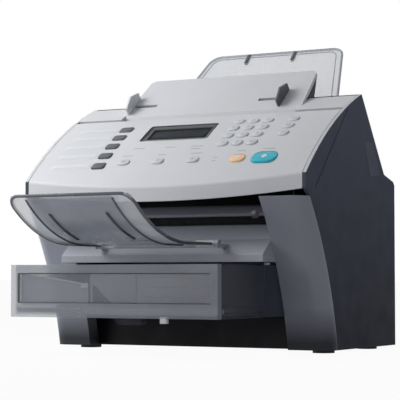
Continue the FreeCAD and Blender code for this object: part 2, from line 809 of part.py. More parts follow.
def make_chassis():
    front = panel.point(plate_nose_at, deck_low)
    rear = panel.point(panel_length - barrel_radius, deck_low)
    back_y = rear_y - skin * 4
    outline = plain([
        (plate_front_y, foot_height + pan_wall),
        (back_y, foot_height + pan_wall),
        (back_y, rear_top_z - skin * 3),
        (slope_foot_y - skin * 4, rear_top_z - skin * 3),
        rear,
        front,
        (front[0], lip_z + exit_gap),
        (plate_front_y, cassette_floor_z),
    ])
    plates = []
    for side, x in both_sides(plate_half - plate_thick, plate_half).items():
        plates.append(prism(f"chassis_plate_{side}", "YZ", x[0], plate_thick, outline))
    cross = box("chassis_cross", (-plate_half + plate_thick / 2, plate_half - plate_thick / 2),
                (plate_front_y + pickup_radius, pickup_y - pickup_radius - skin),
                (cassette_top_z + deck_gap, cassette_top_z + deck_gap + plate_thick))
    shelf_y_range = (engine_y(), engine_y() + cartridge_depth + skin * 2 + laser_depth)
    shelf = box("chassis_shelf", (-plate_half + plate_thick / 2, plate_half - plate_thick / 2),
                shelf_y_range, (engine_z() - plate_thick, engine_z()))
    holes = []
    for name, y, z, radius in (("pickup", pickup_y, pickup_z, pickup_shaft),
                               ("fuser", fuser_y, fuser_z, fuser_shaft)):
        holes.append(rod(f"chassis_{name}_hole", (-half, half), y, z, radius + running_fit))
    keep("chassis_frame", cut("chassis", fuse("chassis_solid", [*plates, cross, shelf]), holes))


def make_rollers():
    reach = plate_half + plate_thick
    for name, y, z, shaft, radius, wide in (
            ("pickup_roller", pickup_y, pickup_z, pickup_shaft, pickup_radius, pickup_half),
            ("fuser_roller", fuser_y, fuser_z, fuser_shaft, fuser_radius, roller_half)):
        core = rod(f"{name}_shaft", (-reach, reach), y, z, shaft)
        sleeve = rod(f"{name}_sleeve", (-wide, wide), y, z, radius)
        keep(name, fuse(f"{name}_solid", [core, sleeve]))
    wide = roller_half
    core = rod("feed_core", (-wide - skin * 3, wide + skin * 3), feed_y, feed_z, feed_shaft)
    sleeve = rod("feed_sleeve", (-wide, wide), feed_y, feed_z, feed_radius)
    keep("document_roller", fuse("document_roller_solid", [core, sleeve]))


def make_deck():
    reach = inner_half - deck_side_gap
    rear = panel_length - barrel_radius
    slab = sloped_box("deck_slab", panel, (-reach, reach), (nose_round, rear), (deck_low, deck_top))
    trough = sloped_box("deck_trough", panel, (-roller_half - skin, roller_half + skin),
                        (feed_at - feed_radius - skin / 2, feed_at + feed_radius + skin / 2),
                        (deck_low + skin / 2 - feed_radius, deck_top + skin))
    bearing = rod("deck_bearing", (-roller_half - skin * 4, roller_half + skin * 4), feed_y, feed_z,
                  feed_shaft + running_fit)
    nest = sloped_box("sensor_nest", panel, (-roller_half - seam, roller_half + seam),
                      (sensor_at - sensor_width / 2 - seam, sensor_at + sensor_width / 2 + seam),
                      (deck_low + skin / 2, deck_top + skin))
    keep("scan_deck", cut("deck", slab, [trough, bearing, nest]))
    sensor = sloped_box("sensor_bar", panel, (-roller_half, roller_half),
                        (sensor_at - sensor_width / 2, sensor_at + sensor_width / 2),
                        (deck_low + skin / 2, deck_top))
    keep("image_sensor", sensor)


def engine_y():
    return fuser_y + fuser_radius + skin


def engine_z():
    return fuser_z + fuser_radius + skin


def make_engine():
    low = engine_z()
    y = engine_y()
    body = across("cartridge_body", roller_half + skin * 4, [
        corner(y, low),
        corner(y + cartridge_depth, low),
        corner(y + cartridge_depth, low + cartridge_height, rounded=skin),
        corner(y + cartridge_depth / 3, low + cartridge_height, rounded=skin),
        corner(y, low + cartridge_height / 2, rounded=skin),
    ])
    keep("toner_cartridge", body)
    laser_y = y + cartridge_depth + skin * 2
    case = box("laser_case", (-roller_half, roller_half), (laser_y, laser_y + laser_depth),
               (low, low + laser_case_height))
    dome = post("laser_dome", 0.0, laser_y + laser_depth / 2, (low, low + laser_height), laser_depth / 3)
    keep("laser_unit", fuse("laser", [case, dome]))
    motor_y = laser_y
    can = rod("motor_can", (-plate_half - motor_length, -plate_half), motor_y, low, motor_radius)
    boss = rod("motor_boss", (-plate_half - motor_length - plate_thick, -plate_half), motor_y, low, skin * 2)
    keep("drive_motor", fuse("motor", [can, boss]))


def make_boards():
    """A board on four posts beside each chassis plate, with its chips on the plate's side."""
    face = plate_half + board_gap
    y = (plate_front_y + pickup_radius, plate_front_y + pickup_radius + board_length)
    low = cassette_floor_z
    edge = skin * 3
    for label, side, tall in (("main_board", "right", board_height),
                              ("power_board", "left", board_height / 2)):
        sheet_x = both_sides(face, face + board_thick)[side]
        post_x = both_sides(plate_half, face)[side]
        chip_x = both_sides(face - chip_height, face + board_thick / 2)[side]
        pieces = [box(f"{label}_sheet", sheet_x, y, (low, low + tall))]
        spots = [(a, b) for a in (y[0] + edge, y[1] - edge) for b in (low + edge, low + tall - edge)]
        for i, (post_y, post_z) in enumerate(spots):
            pieces.append(rod(f"{label}_post_{i}", post_x, post_y, post_z, skin))
        for i in (-1, 0, 1):
            chip_y = around((y[0] + y[1]) / 2 + chip_pitch * i, chip_size)
            chip_z = around(low + tall / 2, chip_size)
            pieces.append(box(f"{label}_chip_{i + 1}", chip_x, chip_y, chip_z))
        keep(label, fuse(f"{label}_solid", pieces))


def make_front_cover():
    rear = lip_y + cover_depth
    ramp = across("cover_ramp", pillar_inner, [
        corner(rear, cover_floor_z),
        corner(rear, lip_z),
        corner(lip_y, lip_z, rounded=skin),
        corner(lip_y - skin * 2, (lip_z + shelf_z) / 2),
        corner(shelf_y, shelf_z, rounded=skin / 2),
        corner(shelf_y, cover_floor_z),
    ])
    hollow = across("cover_hollow", pillar_inner - skin, plain([
        (rear + skin, cover_floor_z - skin),
        (rear + skin, lip_z - skin),
        (lip_y + skin * 1.5, lip_z - skin),
        (lip_y - skin / 2, (lip_z + shelf_z) / 2 - skin),
        (shelf_y + skin, shelf_z - skin),
        (shelf_y + skin, cover_floor_z - skin),
    ]))
    low = lip_z + exit_gap
    bar = across("cover_bar", pillar_inner, plain([
        (rear, low), (rear, low + bar_height), (lip_y, low + bar_height), (lip_y - skin, low + skin),
        (lip_y - skin, low)]))
    cheeks = []
    for side, x in both_sides(pillar_inner - skin, pillar_inner).items():
        cheeks.append(box(f"cover_cheek_{side}", x, (lip_y + skin, rear),
                          (cover_floor_z + skin, low + bar_height)))
    ears = []
    for side, x in both_sides(exit_half + seam, exit_half + seam + ear_width).items():
        ears.append(box(f"cover_ear_{side}", x, (exit_hinge_y - exit_barrel, lip_y + skin),
                        (exit_z - exit_barrel, exit_z)))
        ears.append(rod(f"cover_ear_round_{side}", x, exit_hinge_y, exit_z, exit_barrel))
        reach = exit_half - ear_width
        pin = (x[0], -reach) if side == "left" else (reach, x[1])
        ears.append(rod(f"cover_ear_pin_{side}", pin, exit_hinge_y, exit_z, exit_pin))
    shell = cut("cover_shell", ramp, [hollow])
    keep("front_cover", fuse("cover", [shell, bar, *cheeks, *ears]))


def make_exit_tray():
    start_y = exit_hinge_y - exit_flat
    rise = exit_radius - (exit_radius * exit_radius - exit_reach * exit_reach).root()
    share = exit_reach / exit_radius
    lift = (1 - share * share).root()
    half_thick = exit_thick / 2
    tip_y = start_y - exit_reach
    tip_z = exit_z + rise
    sheet_outline = [
        corner(exit_hinge_y, exit_z - half_thick),
        corner(exit_hinge_y, exit_z + half_thick),
        corner(start_y, exit_z + half_thick, arc=-(exit_radius - half_thick)),
        corner(tip_y + half_thick * share, tip_z + half_thick * lift),
        corner(tip_y - half_thick * share, tip_z - half_thick * lift, arc=exit_radius + half_thick),
        corner(start_y, exit_z - half_thick),
    ]
    plate = across("exit_sheet", exit_half, sheet_outline)
    plan = prism("exit_plan", "XY", foot_height, ridge_z, [
        corner(-exit_half, exit_hinge_y + exit_barrel),
        corner(-exit_half, tip_y - exit_thick, rounded=exit_corner),
        corner(exit_half, tip_y - exit_thick, rounded=exit_corner),
        corner(exit_half, exit_hinge_y + exit_barrel),
    ])
    barrel = rod("exit_barrel_rod", (-exit_half, exit_half), exit_hinge_y, exit_z, exit_barrel)
    bores = []
    for side, x in both_sides(exit_half - ear_width - seam, exit_half + seam).items():
        bores.append(rod(f"exit_bore_{side}", x, exit_hinge_y, exit_z, exit_pin + running_fit))
    sheet_solid = common("exit_rounded", plate, plan)
    ears = []
    for side, x in both_sides(flap_half + flap_gap, flap_half + flap_gap + ear_width).items():
        ears.append(rod(f"flap_ear_{side}", x, flap_y, flap_z, flap_barrel))
        inward = flap_half - ear_width
        pin = (x[0], -inward) if side == "left" else (inward, x[1])
        ears.append(rod(f"flap_ear_pin_{side}", pin, flap_y, flap_z, flap_pin))
    solid = fuse("exit_solid", [sheet_solid, barrel, *ears])
    keep("exit_tray", cut("exit", solid, bores))


def flap_place():
    """The axis of the extension, just behind the tip of the exit tray and above its sheet."""
    back = exit_reach - flap_barrel * 3
    share = back / exit_radius
    lift = (1 - share * share).root()
    inner = exit_radius - exit_thick / 2 - flap_gap - flap_barrel + exit_thick / 4
    centre_y = exit_hinge_y - exit_flat
    centre_z = exit_z + exit_radius
    return centre_y - inner * share, centre_z - inner * lift


flap_axis = flap_place()
flap_y = worked("flap_y", flap_axis[0])
flap_z = worked("flap_z", flap_axis[1])


def make_extension():
    centre_y = exit_hinge_y - exit_flat
    centre_z = exit_z + exit_radius
    low_radius = exit_radius - exit_thick / 2 - flap_gap
    high_radius = low_radius - flap_thick
    front = (exit_reach - flap_barrel * 3) / exit_radius
    back = (exit_reach - flap_barrel * 3 - flap_reach) / exit_radius

    def spot(share, radius):
        return centre_y - radius * share, centre_z - radius * (1 - share * share).root()

    leaf = across("flap_leaf", flap_half, [
        corner(*spot(back, low_radius)),
        corner(*spot(back, high_radius), arc=-high_radius),
        corner(*spot(front, high_radius)),
        corner(*spot(front, low_radius), arc=low_radius),
    ])
    barrel = rod("flap_barrel_rod", (-flap_half, flap_half), flap_y, flap_z, flap_barrel - exit_thick / 4)
    slots = []
    slot_y = (flap_y + flap_slot_at, flap_y + flap_slot_at + flap_slot_length)
    for side, x in both_sides(flap_slot_x, flap_slot_x + flap_slot_width).items():
        slots.append(box(f"flap_slot_{side}", x, slot_y, (exit_z, ridge_z)))
    for side, x in both_sides(flap_half - ear_width - seam, flap_half + seam).items():
        slots.append(rod(f"flap_bore_{side}", x, flap_y, flap_z, flap_pin + running_fit))
    keep("tray_extension", cut("flap", fuse("flap_solid", [leaf, barrel]), slots))


def make_cassette():
    rear = cassette_rear_y
    wall = cassette_wall
    outer = box("cassette_outer", (-cassette_half, cassette_half), (cassette_front_y, rear),
                (cassette_floor_z, cassette_top_z))
    inner = box("cassette_inner", (-cassette_half + wall, cassette_half - wall),
                (cassette_front_y + wall + window_thick, rear - wall),
                (cassette_floor_z + wall, cassette_top_z + wall))
    opening = box("window_opening", (-cassette_half + frame_side, cassette_half - frame_side),
                  (cassette_front_y - wall, cassette_front_y + wall * 2 + window_thick),
                  (cassette_floor_z + frame_bottom, cassette_top_z - frame_top))
    grip = prism("cassette_grip", "YZ", -frame_side * 2, frame_side * 4, plain([
        (cassette_front_y + frame_bottom * 2, cassette_floor_z + wall / 2),
        (cassette_front_y + frame_bottom * 3, cassette_floor_z + wall / 2),
        (cassette_front_y + frame_bottom * 3, cassette_floor_z - frame_side),
        (cassette_front_y + frame_bottom * 2.5, cassette_floor_z - frame_side)]))
    holes = [inner, opening]
    for side, x in both_sides(lift_half, cassette_half + wall).items():
        holes.append(rod(f"lift_bore_{side}", x, lift_y(), lift_z(), lift_pin + running_fit))
    keep("cassette_tray", cut("cassette", fuse("cassette_solid", [outer, grip]), holes))
    pane = box("cassette_pane", (-cassette_half + frame_side, cassette_half - frame_side),
               (cassette_front_y + wall, cassette_front_y + wall + window_thick),
               (cassette_floor_z + frame_bottom, cassette_top_z - frame_top))
    keep("cassette_window", pane)


def lift_y():
    return cassette_front_y + cassette_wall * 2 + window_thick + lift_pin * 2


def lift_z():
    return cassette_floor_z + cassette_wall + lift_pin + lift_gap


def make_lift_plate():
    plate = box("lift_sheet", (-lift_half, lift_half), (lift_y(), cassette_rear_y - cassette_wall * 2),
                (lift_z() - lift_thick / 2, lift_z() + lift_thick / 2))
    pin = rod("lift_pivot", (-cassette_half + seam, cassette_half - seam), lift_y(), lift_z(), lift_pin)
    keep("lift_plate", fuse("lift", [plate, pin]))


def make_document_tray():
    length = (tray_top_z - tray_foot_z) / tray.sin
    plate = prism("tray_plate", "XY", -tray_thick, tray_thick, [
        corner(-tray_half, 0.0),
        corner(tray_half, 0.0),
        corner(tray_top_half, length, rounded=tray_corner),
        corner(-tray_top_half, length, rounded=tray_corner),
    ])
    tray.set(plate)
    low = panel.point(panel_length - barrel_radius, deck_top)
    foot = tray.point(as_size(0.0), -tray_thick)
    chute = across("tray_chute", tray_half, plain([
        (tray_foot_y, tray_foot_z),
        (low[0] + chute_gap, low[1] + deck_gap),
        (low[0] + chute_gap + skin, low[1] + deck_gap),
        (foot[0] + skin, foot[1] + skin / 2),
        (tray_foot_y + skin, tray_foot_z + skin / 2),
    ]))
    front = panel_length + barrel_radius + deck_gap
    back = chord - skin - seam
    shoulders = []
    for side, x in both_sides(tray_half - skin, cover_half).items():
        shoulder = prism(f"shoulder_{side}", "YZ", x[0], x[1] - x[0], [
            corner(front, crown(front) - tray_thick),
            corner(back, crown(back) - tray_thick),
            corner(back, crown(back), arc=panel_radius),
            corner(front, crown(front)),
        ])
        shoulders.append(panel.set(shoulder))
    slots = []
    for side, sign in (("left", -1), ("right", 1)):
        outer = document_x + (document_half + key_fit) * sign
        inner = document_x + (document_half - guide_travel - guide_thick - key_fit) * sign
        x = (inner, outer) if sign > 0 else (outer, inner)
        slots.append(sloped_box(f"guide_slot_{side}", tray, x,
                                (guide_at - guide_slot / 2, guide_at + guide_slot / 2),
                                (-tray_thick * 2, tray_thick)))
    axle = doc.addObject("Part::Cylinder", "pinion_axle")
    bind(axle, "Radius", pinion_axle)
    bind(axle, "Height", tray_thick + rack_height)
    tray.set(axle, document_x, guide_at, -tray_thick * 1.5 - rack_height)
    solid = fuse("tray_solid", [plate, chute, axle, *shoulders])
    keep("document_tray", cut("tray_cut", solid, slots))


def make_guides():
    fit = key_fit
    for side, sign in (("left", -1), ("right", 1)):
        x = document_x + document_half * sign
        inner = (x - guide_thick, x) if sign > 0 else (x, x + guide_thick)
        start = guide_at - guide_length / 2
        end = guide_at + guide_length / 2
        fin = prism(f"guide_fin_{side}", "YZ", inner[0], guide_thick, plain([
            (start, fit),
            (end, fit),
            (end, guide_shoulder),
            ((start + end) / 2, guide_height),
            (start, guide_shoulder),
        ]))
        tray.set(fin)
        stem = sloped_box(f"guide_stem_{side}", tray, inner,
                          (guide_at - guide_slot / 2 + fit, guide_at + guide_slot / 2 - fit),
                          (-tray_thick - rack_height - fit, guide_height / 2))
        near = document_x - pinion_radius * sign
        rack_x = (near, inner[1]) if sign > 0 else (inner[0], near)
        offset = (pinion_radius + mesh_gap) * sign
        rack_v = (guide_at + offset, guide_at + offset + rack_height) if sign > 0 else (
            guide_at + offset - rack_height, guide_at + offset)
        rack = sloped_box(f"guide_rack_{side}", tray, rack_x, rack_v,
                          (-tray_thick - rack_height - fit, -tray_thick - fit))
        link_v = (guide_at - guide_slot / 2 + fit, rack_v[1]) if sign > 0 else (
            rack_v[0], guide_at + guide_slot / 2 - fit)
        link = sloped_box(f"guide_link_{side}", tray, inner, link_v,
                          (-tray_thick - rack_height - fit, -tray_thick - fit))
        keep(f"guide_{side}", fuse(f"guide_{side}_solid", [fin, stem, rack, link]))
    wheel = doc.addObject("Part::Cylinder", "pinion_wheel")
    bore = doc.addObject("Part::Cylinder", "pinion_bore")
    for item, radius in ((wheel, pinion_radius), (bore, pinion_axle + running_fit)):
        bind(item, "Radius", radius)
        bind(item, "Height", rack_height)
        tray.set(item, document_x, guide_at, -tray_thick - rack_height - fit)
    keep("guide_pinion", cut("pinion", wheel, [bore]))


# The rear support leans back from a point on the rear slope.
slope_share = worked("slope_share", support_at / (ridge_z - slope_foot_z))
lean = math.radians(support_lean.value)
support = Slope("support", ridge_y + (slope_foot_y - ridge_y) * slope_share, ridge_z - support_at,
                Size(math.cos(lean), f"cos({support_lean.text})"),
                Size(math.sin(lean), f"sin({support_lean.text})"))


def make_support():
    plate = prism("support_plate", "XY", -support_thick / 2, support_thick, [
        corner(-support_width / 2, -support_root + seam),
        corner(support_width / 2, -support_root + seam),
        corner(support_width / 2, support_neck),
        corner(support_shoulder_width / 2, support_shoulder, rounded=support_corner),
        corner(support_top_width / 2, support_length, rounded=support_corner),
        corner(-support_top_width / 2, support_length, rounded=support_corner),
        corner(-support_shoulder_width / 2, support_shoulder, rounded=support_corner),
        corner(-support_width / 2, support_neck),
    ])
    keep("paper_support", support.set(plate))


def key_places():
    """Each key's name with its X, its place up the panel, width, height and corner radius."""
    keys = {}

    def oval(name, x, at, wide, tall):
        keys[f"key_{name}"] = (x, at, wide, tall, tall * oval_share)

    names = [["one", "two", "three"], ["four", "five", "six"], ["seven", "eight", "nine"],
             ["star", "zero", "hash"]]
    top_row = pad_at + pad_pitch * (len(names) - 1) / 2
    for row, line in enumerate(names):
        for column, name in enumerate(line):
            oval(name, pad_x + pad_pitch_x * (column - 1), top_row - pad_pitch * row,
                 pad_key_width, pad_key_height)
    for row, name in enumerate(("redial", "pause", "mute")):
        oval(name, side_key_x, top_row - pad_pitch * row, pad_key_width, pad_key_height)
    for row in range(5):
        at = quick_at + quick_pitch * (2 - row)
        keys[f"key_quick_{row + 1}"] = (quick_x, at, quick_width, quick_height, quick_round)
    for name, x in zip(("menu", "back", "forward"), (-1, 0, 1)):
        oval(name, display_x + display_width / 2 * x, front_row_at, row_key_width, row_key_height)
    oval("stop", stop_x, front_row_at, stop_width, stop_height)
    oval("start", start_x, front_row_at, start_width, start_height)
    return keys


def key_outline(place, grow):
    x, at, wide, tall, rounded = place
    left, right = around(x, wide, grow)
    bottom, top = around(at, tall, grow)
    return rectangle(left, bottom, right, top, rounded + grow)


def make_keys():
    for name, place in key_places().items():
        low = -board_drop + key_lift
        top = crown(place[1]) + key_proud
        body = prism(f"{name}_body", "XY", low, top - low, key_outline(place, as_size(0.0)))
        keep(name, panel.set(body))


def display_outline(grow, rounded=None):
    left, right = around(display_x, display_width, grow)
    bottom, top = around(display_at, display_height, grow)
    return rectangle(left, bottom, right, top, rounded)


def make_panel():
    front = -nose_reach
    rear = panel_length
    low = -panel_drop
    slab = across("panel_slab", inner_half, [
        corner(front, crown(front) - panel_drop),
        corner(nose_round, low),
        corner(rear - barrel_radius, low),
        corner(rear, hinge_n),
        corner(rear, hinge_crown, arc=panel_radius),
        corner(front, crown(front)),
    ])
    panel.set(slab)
    inside = panel_radius - skin
    wall = nose_round + skin

    def inner_crown(v):
        off = v - chord / 2
        return (inside * inside - off * off).root() - chord_sag

    end = rear - barrel_radius - skin
    hollow = across("panel_hollow", inner_half - skin, [
        corner(wall, low - skin),
        corner(end, low - skin),
        corner(end, inner_crown(end), arc=inside),
        corner(wall, inner_crown(wall)),
    ])
    panel.set(hollow)
    barrel = rod("panel_barrel", (-inner_half, inner_half), hinge_y, hinge_z, barrel_radius)
    bosses = []
    for side, x in (("left", -plate_half), ("right", plate_half)):
        for i, v in enumerate((wall + skin * 2, end - skin * 2)):
            boss = doc.addObject("Part::Cylinder", f"panel_boss_{side}_{i}")
            bind(boss, "Radius", skin)
            bind(boss, "Height", board_drop + crown(v) - skin / 2)
            bosses.append(panel.set(boss, x, v, -board_drop))
    holes = []
    for side, x in both_sides(cover_half - pin_length - seam, cover_half + seam).items():
        holes.append(rod(f"panel_bore_{side}", x, hinge_y, hinge_z, pin_radius + running_fit))
    for name, place in key_places().items():
        hole = prism(f"{name}_hole", "XY", 0.0, ridge_z - nose_top, key_outline(place, key_fit))
        holes.append(panel.set(hole))
    sink = prism("display_recess", "XY", crown(display_at) - display_thick - seam, ridge_z - nose_top,
                 display_outline(as_size(0.0), skin))
    view = prism("display_opening", "XY", 0.0, ridge_z - nose_top, display_outline(-display_border))
    holes += [panel.set(sink), panel.set(view)]
    shell = cut("panel_shell", fuse("panel_solid", [slab, barrel]), [hollow])
    open_panel = cut("panel_open", fuse("panel_bossed", [shell, *bosses]), holes)
    plan = prism("panel_plan", "XY", foot_height, ridge_z, [
        corner(inner_half, ridge_y),
        corner(-inner_half, ridge_y),
        corner(-inner_half, nose_y, arc=bow_radius),
        corner(inner_half, nose_y),
    ])
    trimmed = common("panel_trimmed", open_panel, plan)

    def crease(edge):
        bounds = edge.BoundBox
        wide = bounds.XLength > inner_half.value * 1.9
        ahead = bounds.YMax < nose_y.value + 1 and bounds.YMin < nose_y.value - nose_bow.value / 2
        return wide and ahead and bounds.ZMax > nose_top.value - nose_depth.value / 2

    keep("control_panel", round_edges("panel_rounded", trimmed, nose_round, crease))


bow_radius = worked("bow_radius", (inner_half * inner_half / nose_bow + nose_bow) / 2)


def make_panel_inside():
    reach = inner_half - skin * 2
    low = -board_drop - board_thick
    front = nose_round + skin * 2
    rear = panel_length - barrel_radius - skin * 2
    board = sloped_box("panel_sheet", panel, (-reach, reach), (front, rear), (low, -board_drop))
    top = crown(display_at - display_height / 2) - skin - seam
    module = sloped_box("display_module", panel, around(display_x, display_width, -display_border / 2),
                        around(display_at, display_height, -display_border / 2),
                        (-board_drop - board_thick / 2, top))
    keep("panel_board", fuse("panel_board_solid", [board, module]))
    sink = crown(display_at) - display_thick - seam
    pane = prism("display_pane", "XY", sink, display_thick, display_outline(-seam / 2, skin))
    keep("display_window", panel.set(pane))


make_side_covers()
make_panel_pins()
make_pillars()
make_rear_cover()
make_sockets()
make_screws()
make_feet()
make_base_pan()
make_chassis()
make_rollers()
make_deck()
make_engine()
make_boards()
make_front_cover()
make_exit_tray()
make_extension()
make_cassette()
make_lift_plate()
make_document_tray()
make_guides()
make_support()
make_keys()
make_panel()
make_panel_inside()
doc.recompute()

failed = [item.Name for item in doc.Objects if {"Invalid", "Error"} & set(item.State)]
if failed:
    raise RuntimeError(f"not built: {failed}")
for label, item in nodes.items():
    if item.Shape.isNull() or not item.Shape.isValid() or not item.Shape.Solids:
        raise RuntimeError(f"bad shape: {label}")

os.makedirs("parts", exist_ok=True)
for label, item in nodes.items():
    item.Shape.exportStep(os.path.join("parts", f"{label}.step"))
print(f"{len(nodes)} sub-parts")
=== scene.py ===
import math

import bmesh
import bpy
from mathutils import Matrix, Vector


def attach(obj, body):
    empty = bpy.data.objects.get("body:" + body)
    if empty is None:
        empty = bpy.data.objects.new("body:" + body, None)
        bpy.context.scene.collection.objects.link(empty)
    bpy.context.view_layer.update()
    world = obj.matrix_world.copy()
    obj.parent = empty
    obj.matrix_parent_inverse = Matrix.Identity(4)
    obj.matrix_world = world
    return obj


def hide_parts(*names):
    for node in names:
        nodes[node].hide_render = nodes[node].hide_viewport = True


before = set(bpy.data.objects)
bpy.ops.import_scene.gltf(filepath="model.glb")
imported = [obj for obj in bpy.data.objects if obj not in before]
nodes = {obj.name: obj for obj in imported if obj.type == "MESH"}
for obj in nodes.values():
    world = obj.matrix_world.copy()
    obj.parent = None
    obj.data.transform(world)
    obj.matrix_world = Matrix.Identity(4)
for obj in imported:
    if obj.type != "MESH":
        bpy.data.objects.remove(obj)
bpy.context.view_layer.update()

MM = 0.001
scene = bpy.context.scene


# Places on the machine, in metres: X across, the front faces -Y, Z up

NOSE = Vector((0.0, -0.056, 0.190))
RIDGE = Vector((0.0, 0.089, 0.285))
PANEL_RADIUS = 0.400
CHORD = (RIDGE - NOSE).length
PANEL_ANGLE = math.atan2(RIDGE.z - NOSE.z, RIDGE.y - NOSE.y)
CENTRE_DROP = math.sqrt(PANEL_RADIUS ** 2 - CHORD ** 2 / 4)


def crown(v):
    """How far the panel's curved face stands above its chord."""
    return math.sqrt(PANEL_RADIUS ** 2 - (v - CHORD / 2) ** 2) - CENTRE_DROP


def slope_matrix(origin, angle, x, v, n):
    """A frame tilted about X: its X runs across, its Y up the slope, its Z out of it."""
    turn = Matrix.Rotation(angle, 4, "X")
    return Matrix.Translation(origin) @ turn @ Matrix.Translation((x, v, n))


def on_chord(x, v, lift):
    """Level with the panel's chord, lifted from the curved face: where the display cell lies."""
    return slope_matrix(NOSE, PANEL_ANGLE, x, v, crown(v) + lift)


def on_panel(x, v, lift):
    """On the curved face itself, square to it."""
    lean = math.asin((v - CHORD / 2) / PANEL_RADIUS)
    place = slope_matrix(NOSE, PANEL_ANGLE, x, v, crown(v))
    return place @ Matrix.Rotation(-lean, 4, "X") @ Matrix.Translation((0.0, 0.0, lift))


# Materials

# Most values of a noise texture lie between these
NOISE_LOW = 0.3
NOISE_HIGH = 0.7
# A normal turned so far by its edge, as a cosine, counts as fully worn
EDGE_TURN = 0.75
# Brush marks are so many times finer across the grain than along it
BRUSH = (1.0, 60.0, 60.0)


def linear(red, green, blue):
    """A display colour of 0 to 255 as linear light."""
    shares = [c / 255 for c in (red, green, blue)]
    return tuple(s / 12.92 if s <= 0.04045 else ((s + 0.055) / 1.055) ** 2.4 for s in shares) + (1.0,)


class Surface:
    """A node material with helpers for the links that every finish here uses."""

    def __init__(self, name):
        """A new material, its shader and the place on the piece."""
        self.material = bpy.data.materials.new(name)
        self.material.use_nodes = True
        self.tree = self.material.node_tree
        self.shader = self.tree.nodes["Principled BSDF"]
        self.place = self.add("ShaderNodeTexCoord").outputs["Object"]

    def add(self, kind, **values):
        """A new node with its settings."""
        node = self.tree.nodes.new(kind)
        for key, value in values.items():
            setattr(node, key, value)
        return node

    def link(self, start, end):
        """Links an output to an input."""
        self.tree.links.new(start, end)

    def noise(self, scale, detail=3.0, place=None):
        """The value of a noise texture."""
        node = self.add("ShaderNodeTexNoise")
        node.inputs["Scale"].default_value = scale
        node.inputs["Detail"].default_value = detail
        self.link(place or self.place, node.inputs["Vector"])
        return node.outputs["Fac"]

    def remap(self, source, low, high, start=NOISE_LOW, end=NOISE_HIGH):
        """Turns the range from start to end into the range from low to high."""
        node = self.add("ShaderNodeMapRange")
        node.inputs["From Min"].default_value = start
        node.inputs["From Max"].default_value = end
        node.inputs["To Min"].default_value = low
        node.inputs["To Max"].default_value = high
        self.link(source, node.inputs["Value"])
        return node.outputs["Result"]

    def mix(self, share, first, second):
        """A colour between two."""
        node = self.add("ShaderNodeMix", data_type="RGBA")
        self.put(node.inputs[0], share)
        self.put(node.inputs[6], first)
        self.put(node.inputs[7], second)
        return node.outputs[2]

    def math(self, operation, first, second=0.0):
        """The result of one operation on outputs or plain values."""
        node = self.add("ShaderNodeMath", operation=operation)
        self.put(node.inputs[0], first)
        self.put(node.inputs[1], second)
        return node.outputs[0]

    def put(self, socket, value):
        """Links another node's output to a socket, or sets a plain value on it."""
        if isinstance(value, bpy.types.NodeSocket):
            self.link(value, socket)
        else:
            socket.default_value = value

    def set(self, **values):
        """Puts values on the shader's inputs."""
        for key, value in values.items():
            self.put(self.shader.inputs[key.replace("_", " ")], value)

    def tint(self, share, colour):
        """Mixes a share of a colour over the base colour."""
        under = self.shader.inputs["Base Color"].links[0].from_socket
        self.set(Base_Color=self.mix(share, under, colour))

    def axes(self):
        """The place's X, Y and Z."""
        node = self.add("ShaderNodeSeparateXYZ")
        self.link(self.place, node.inputs[0])
        return node.outputs

    def bump(self, height, strength, distance, under=None):
        """A normal from a height, over another normal if one is given."""
        node = self.add("ShaderNodeBump")
        node.inputs["Strength"].default_value = strength
        node.inputs["Distance"].default_value = distance
        self.link(height, node.inputs["Height"])
        if under is not None:
            self.link(under, node.inputs["Normal"])
        return node.outputs["Normal"]

    def edges(self, radius):
        """Rounded-over normals, and how strongly a place is an edge."""
        rounded = self.add("ShaderNodeBevel", samples=4)
        rounded.inputs["Radius"].default_value = radius
        flat = self.add("ShaderNodeNewGeometry").outputs["Normal"]
        dot = self.add("ShaderNodeVectorMath", operation="DOT_PRODUCT")
        self.link(rounded.outputs[0], dot.inputs[0])
        self.link(flat, dot.inputs[1])
        return rounded.outputs[0], self.remap(dot.outputs["Value"], 1.0, 0.0, EDGE_TURN, 1.0)


def shade(colour, factor):
    """The colour made lighter or darker."""
    return tuple(c * factor for c in colour[:3]) + (1.0,)


def plastic(name, colour, rough=0.45, grain=1500.0, bump=0.25, wear=1.18, edge=0.7 * MM, gloss=0.3):
    """Moulded plastic: spark-eroded grain, uneven tone and rubbed edges."""
    s = Surface(name)
    normal, worn = s.edges(edge)
    tone = s.mix(s.remap(s.noise(9.0), 0.0, 1.0, 0.35, 0.65), shade(colour, 0.97), shade(colour, 1.03))
    fine = s.mix(s.remap(s.noise(grain, 2.0), 0.0, 0.5, 0.45, 0.7), tone, shade(colour, 0.92))
    scuff = s.math("MULTIPLY", worn, s.remap(s.noise(160.0), 0.1, 0.8, 0.4, 0.65))
    s.set(Base_Color=s.mix(scuff, fine, shade(colour, wear)))
    s.set(Roughness=s.remap(s.noise(45.0), rough - 0.05, rough + 0.07))
    s.set(Normal=s.bump(s.noise(grain, 2.0), bump, 0.06 * MM, normal))
    s.set(Specular_IOR_Level=gloss)
    return s


def clear(name, colour, alpha, rough=0.18, marks=0.06, gloss=0.5):
    """Clear or smoked moulding: seen through, with faint flow marks and dust."""
    s = Surface(name)
    flow = s.noise(14.0, 4.0)
    dust = s.noise(700.0, 2.0)
    s.set(Base_Color=s.mix(s.remap(flow, 0.0, 1.0), shade(colour, 0.9), shade(colour, 1.1)))
    s.set(Roughness=s.remap(flow, rough, rough + 0.12))
    mist = s.math("ADD", s.remap(flow, -marks, marks), s.remap(dust, 0.0, 0.04, 0.62, 0.72))
    s.set(Normal=s.bump(flow, 0.05, 0.1 * MM))
    s.set(Specular_IOR_Level=gloss)
    s.set(Alpha=s.math("ADD", mist, alpha))
    return s


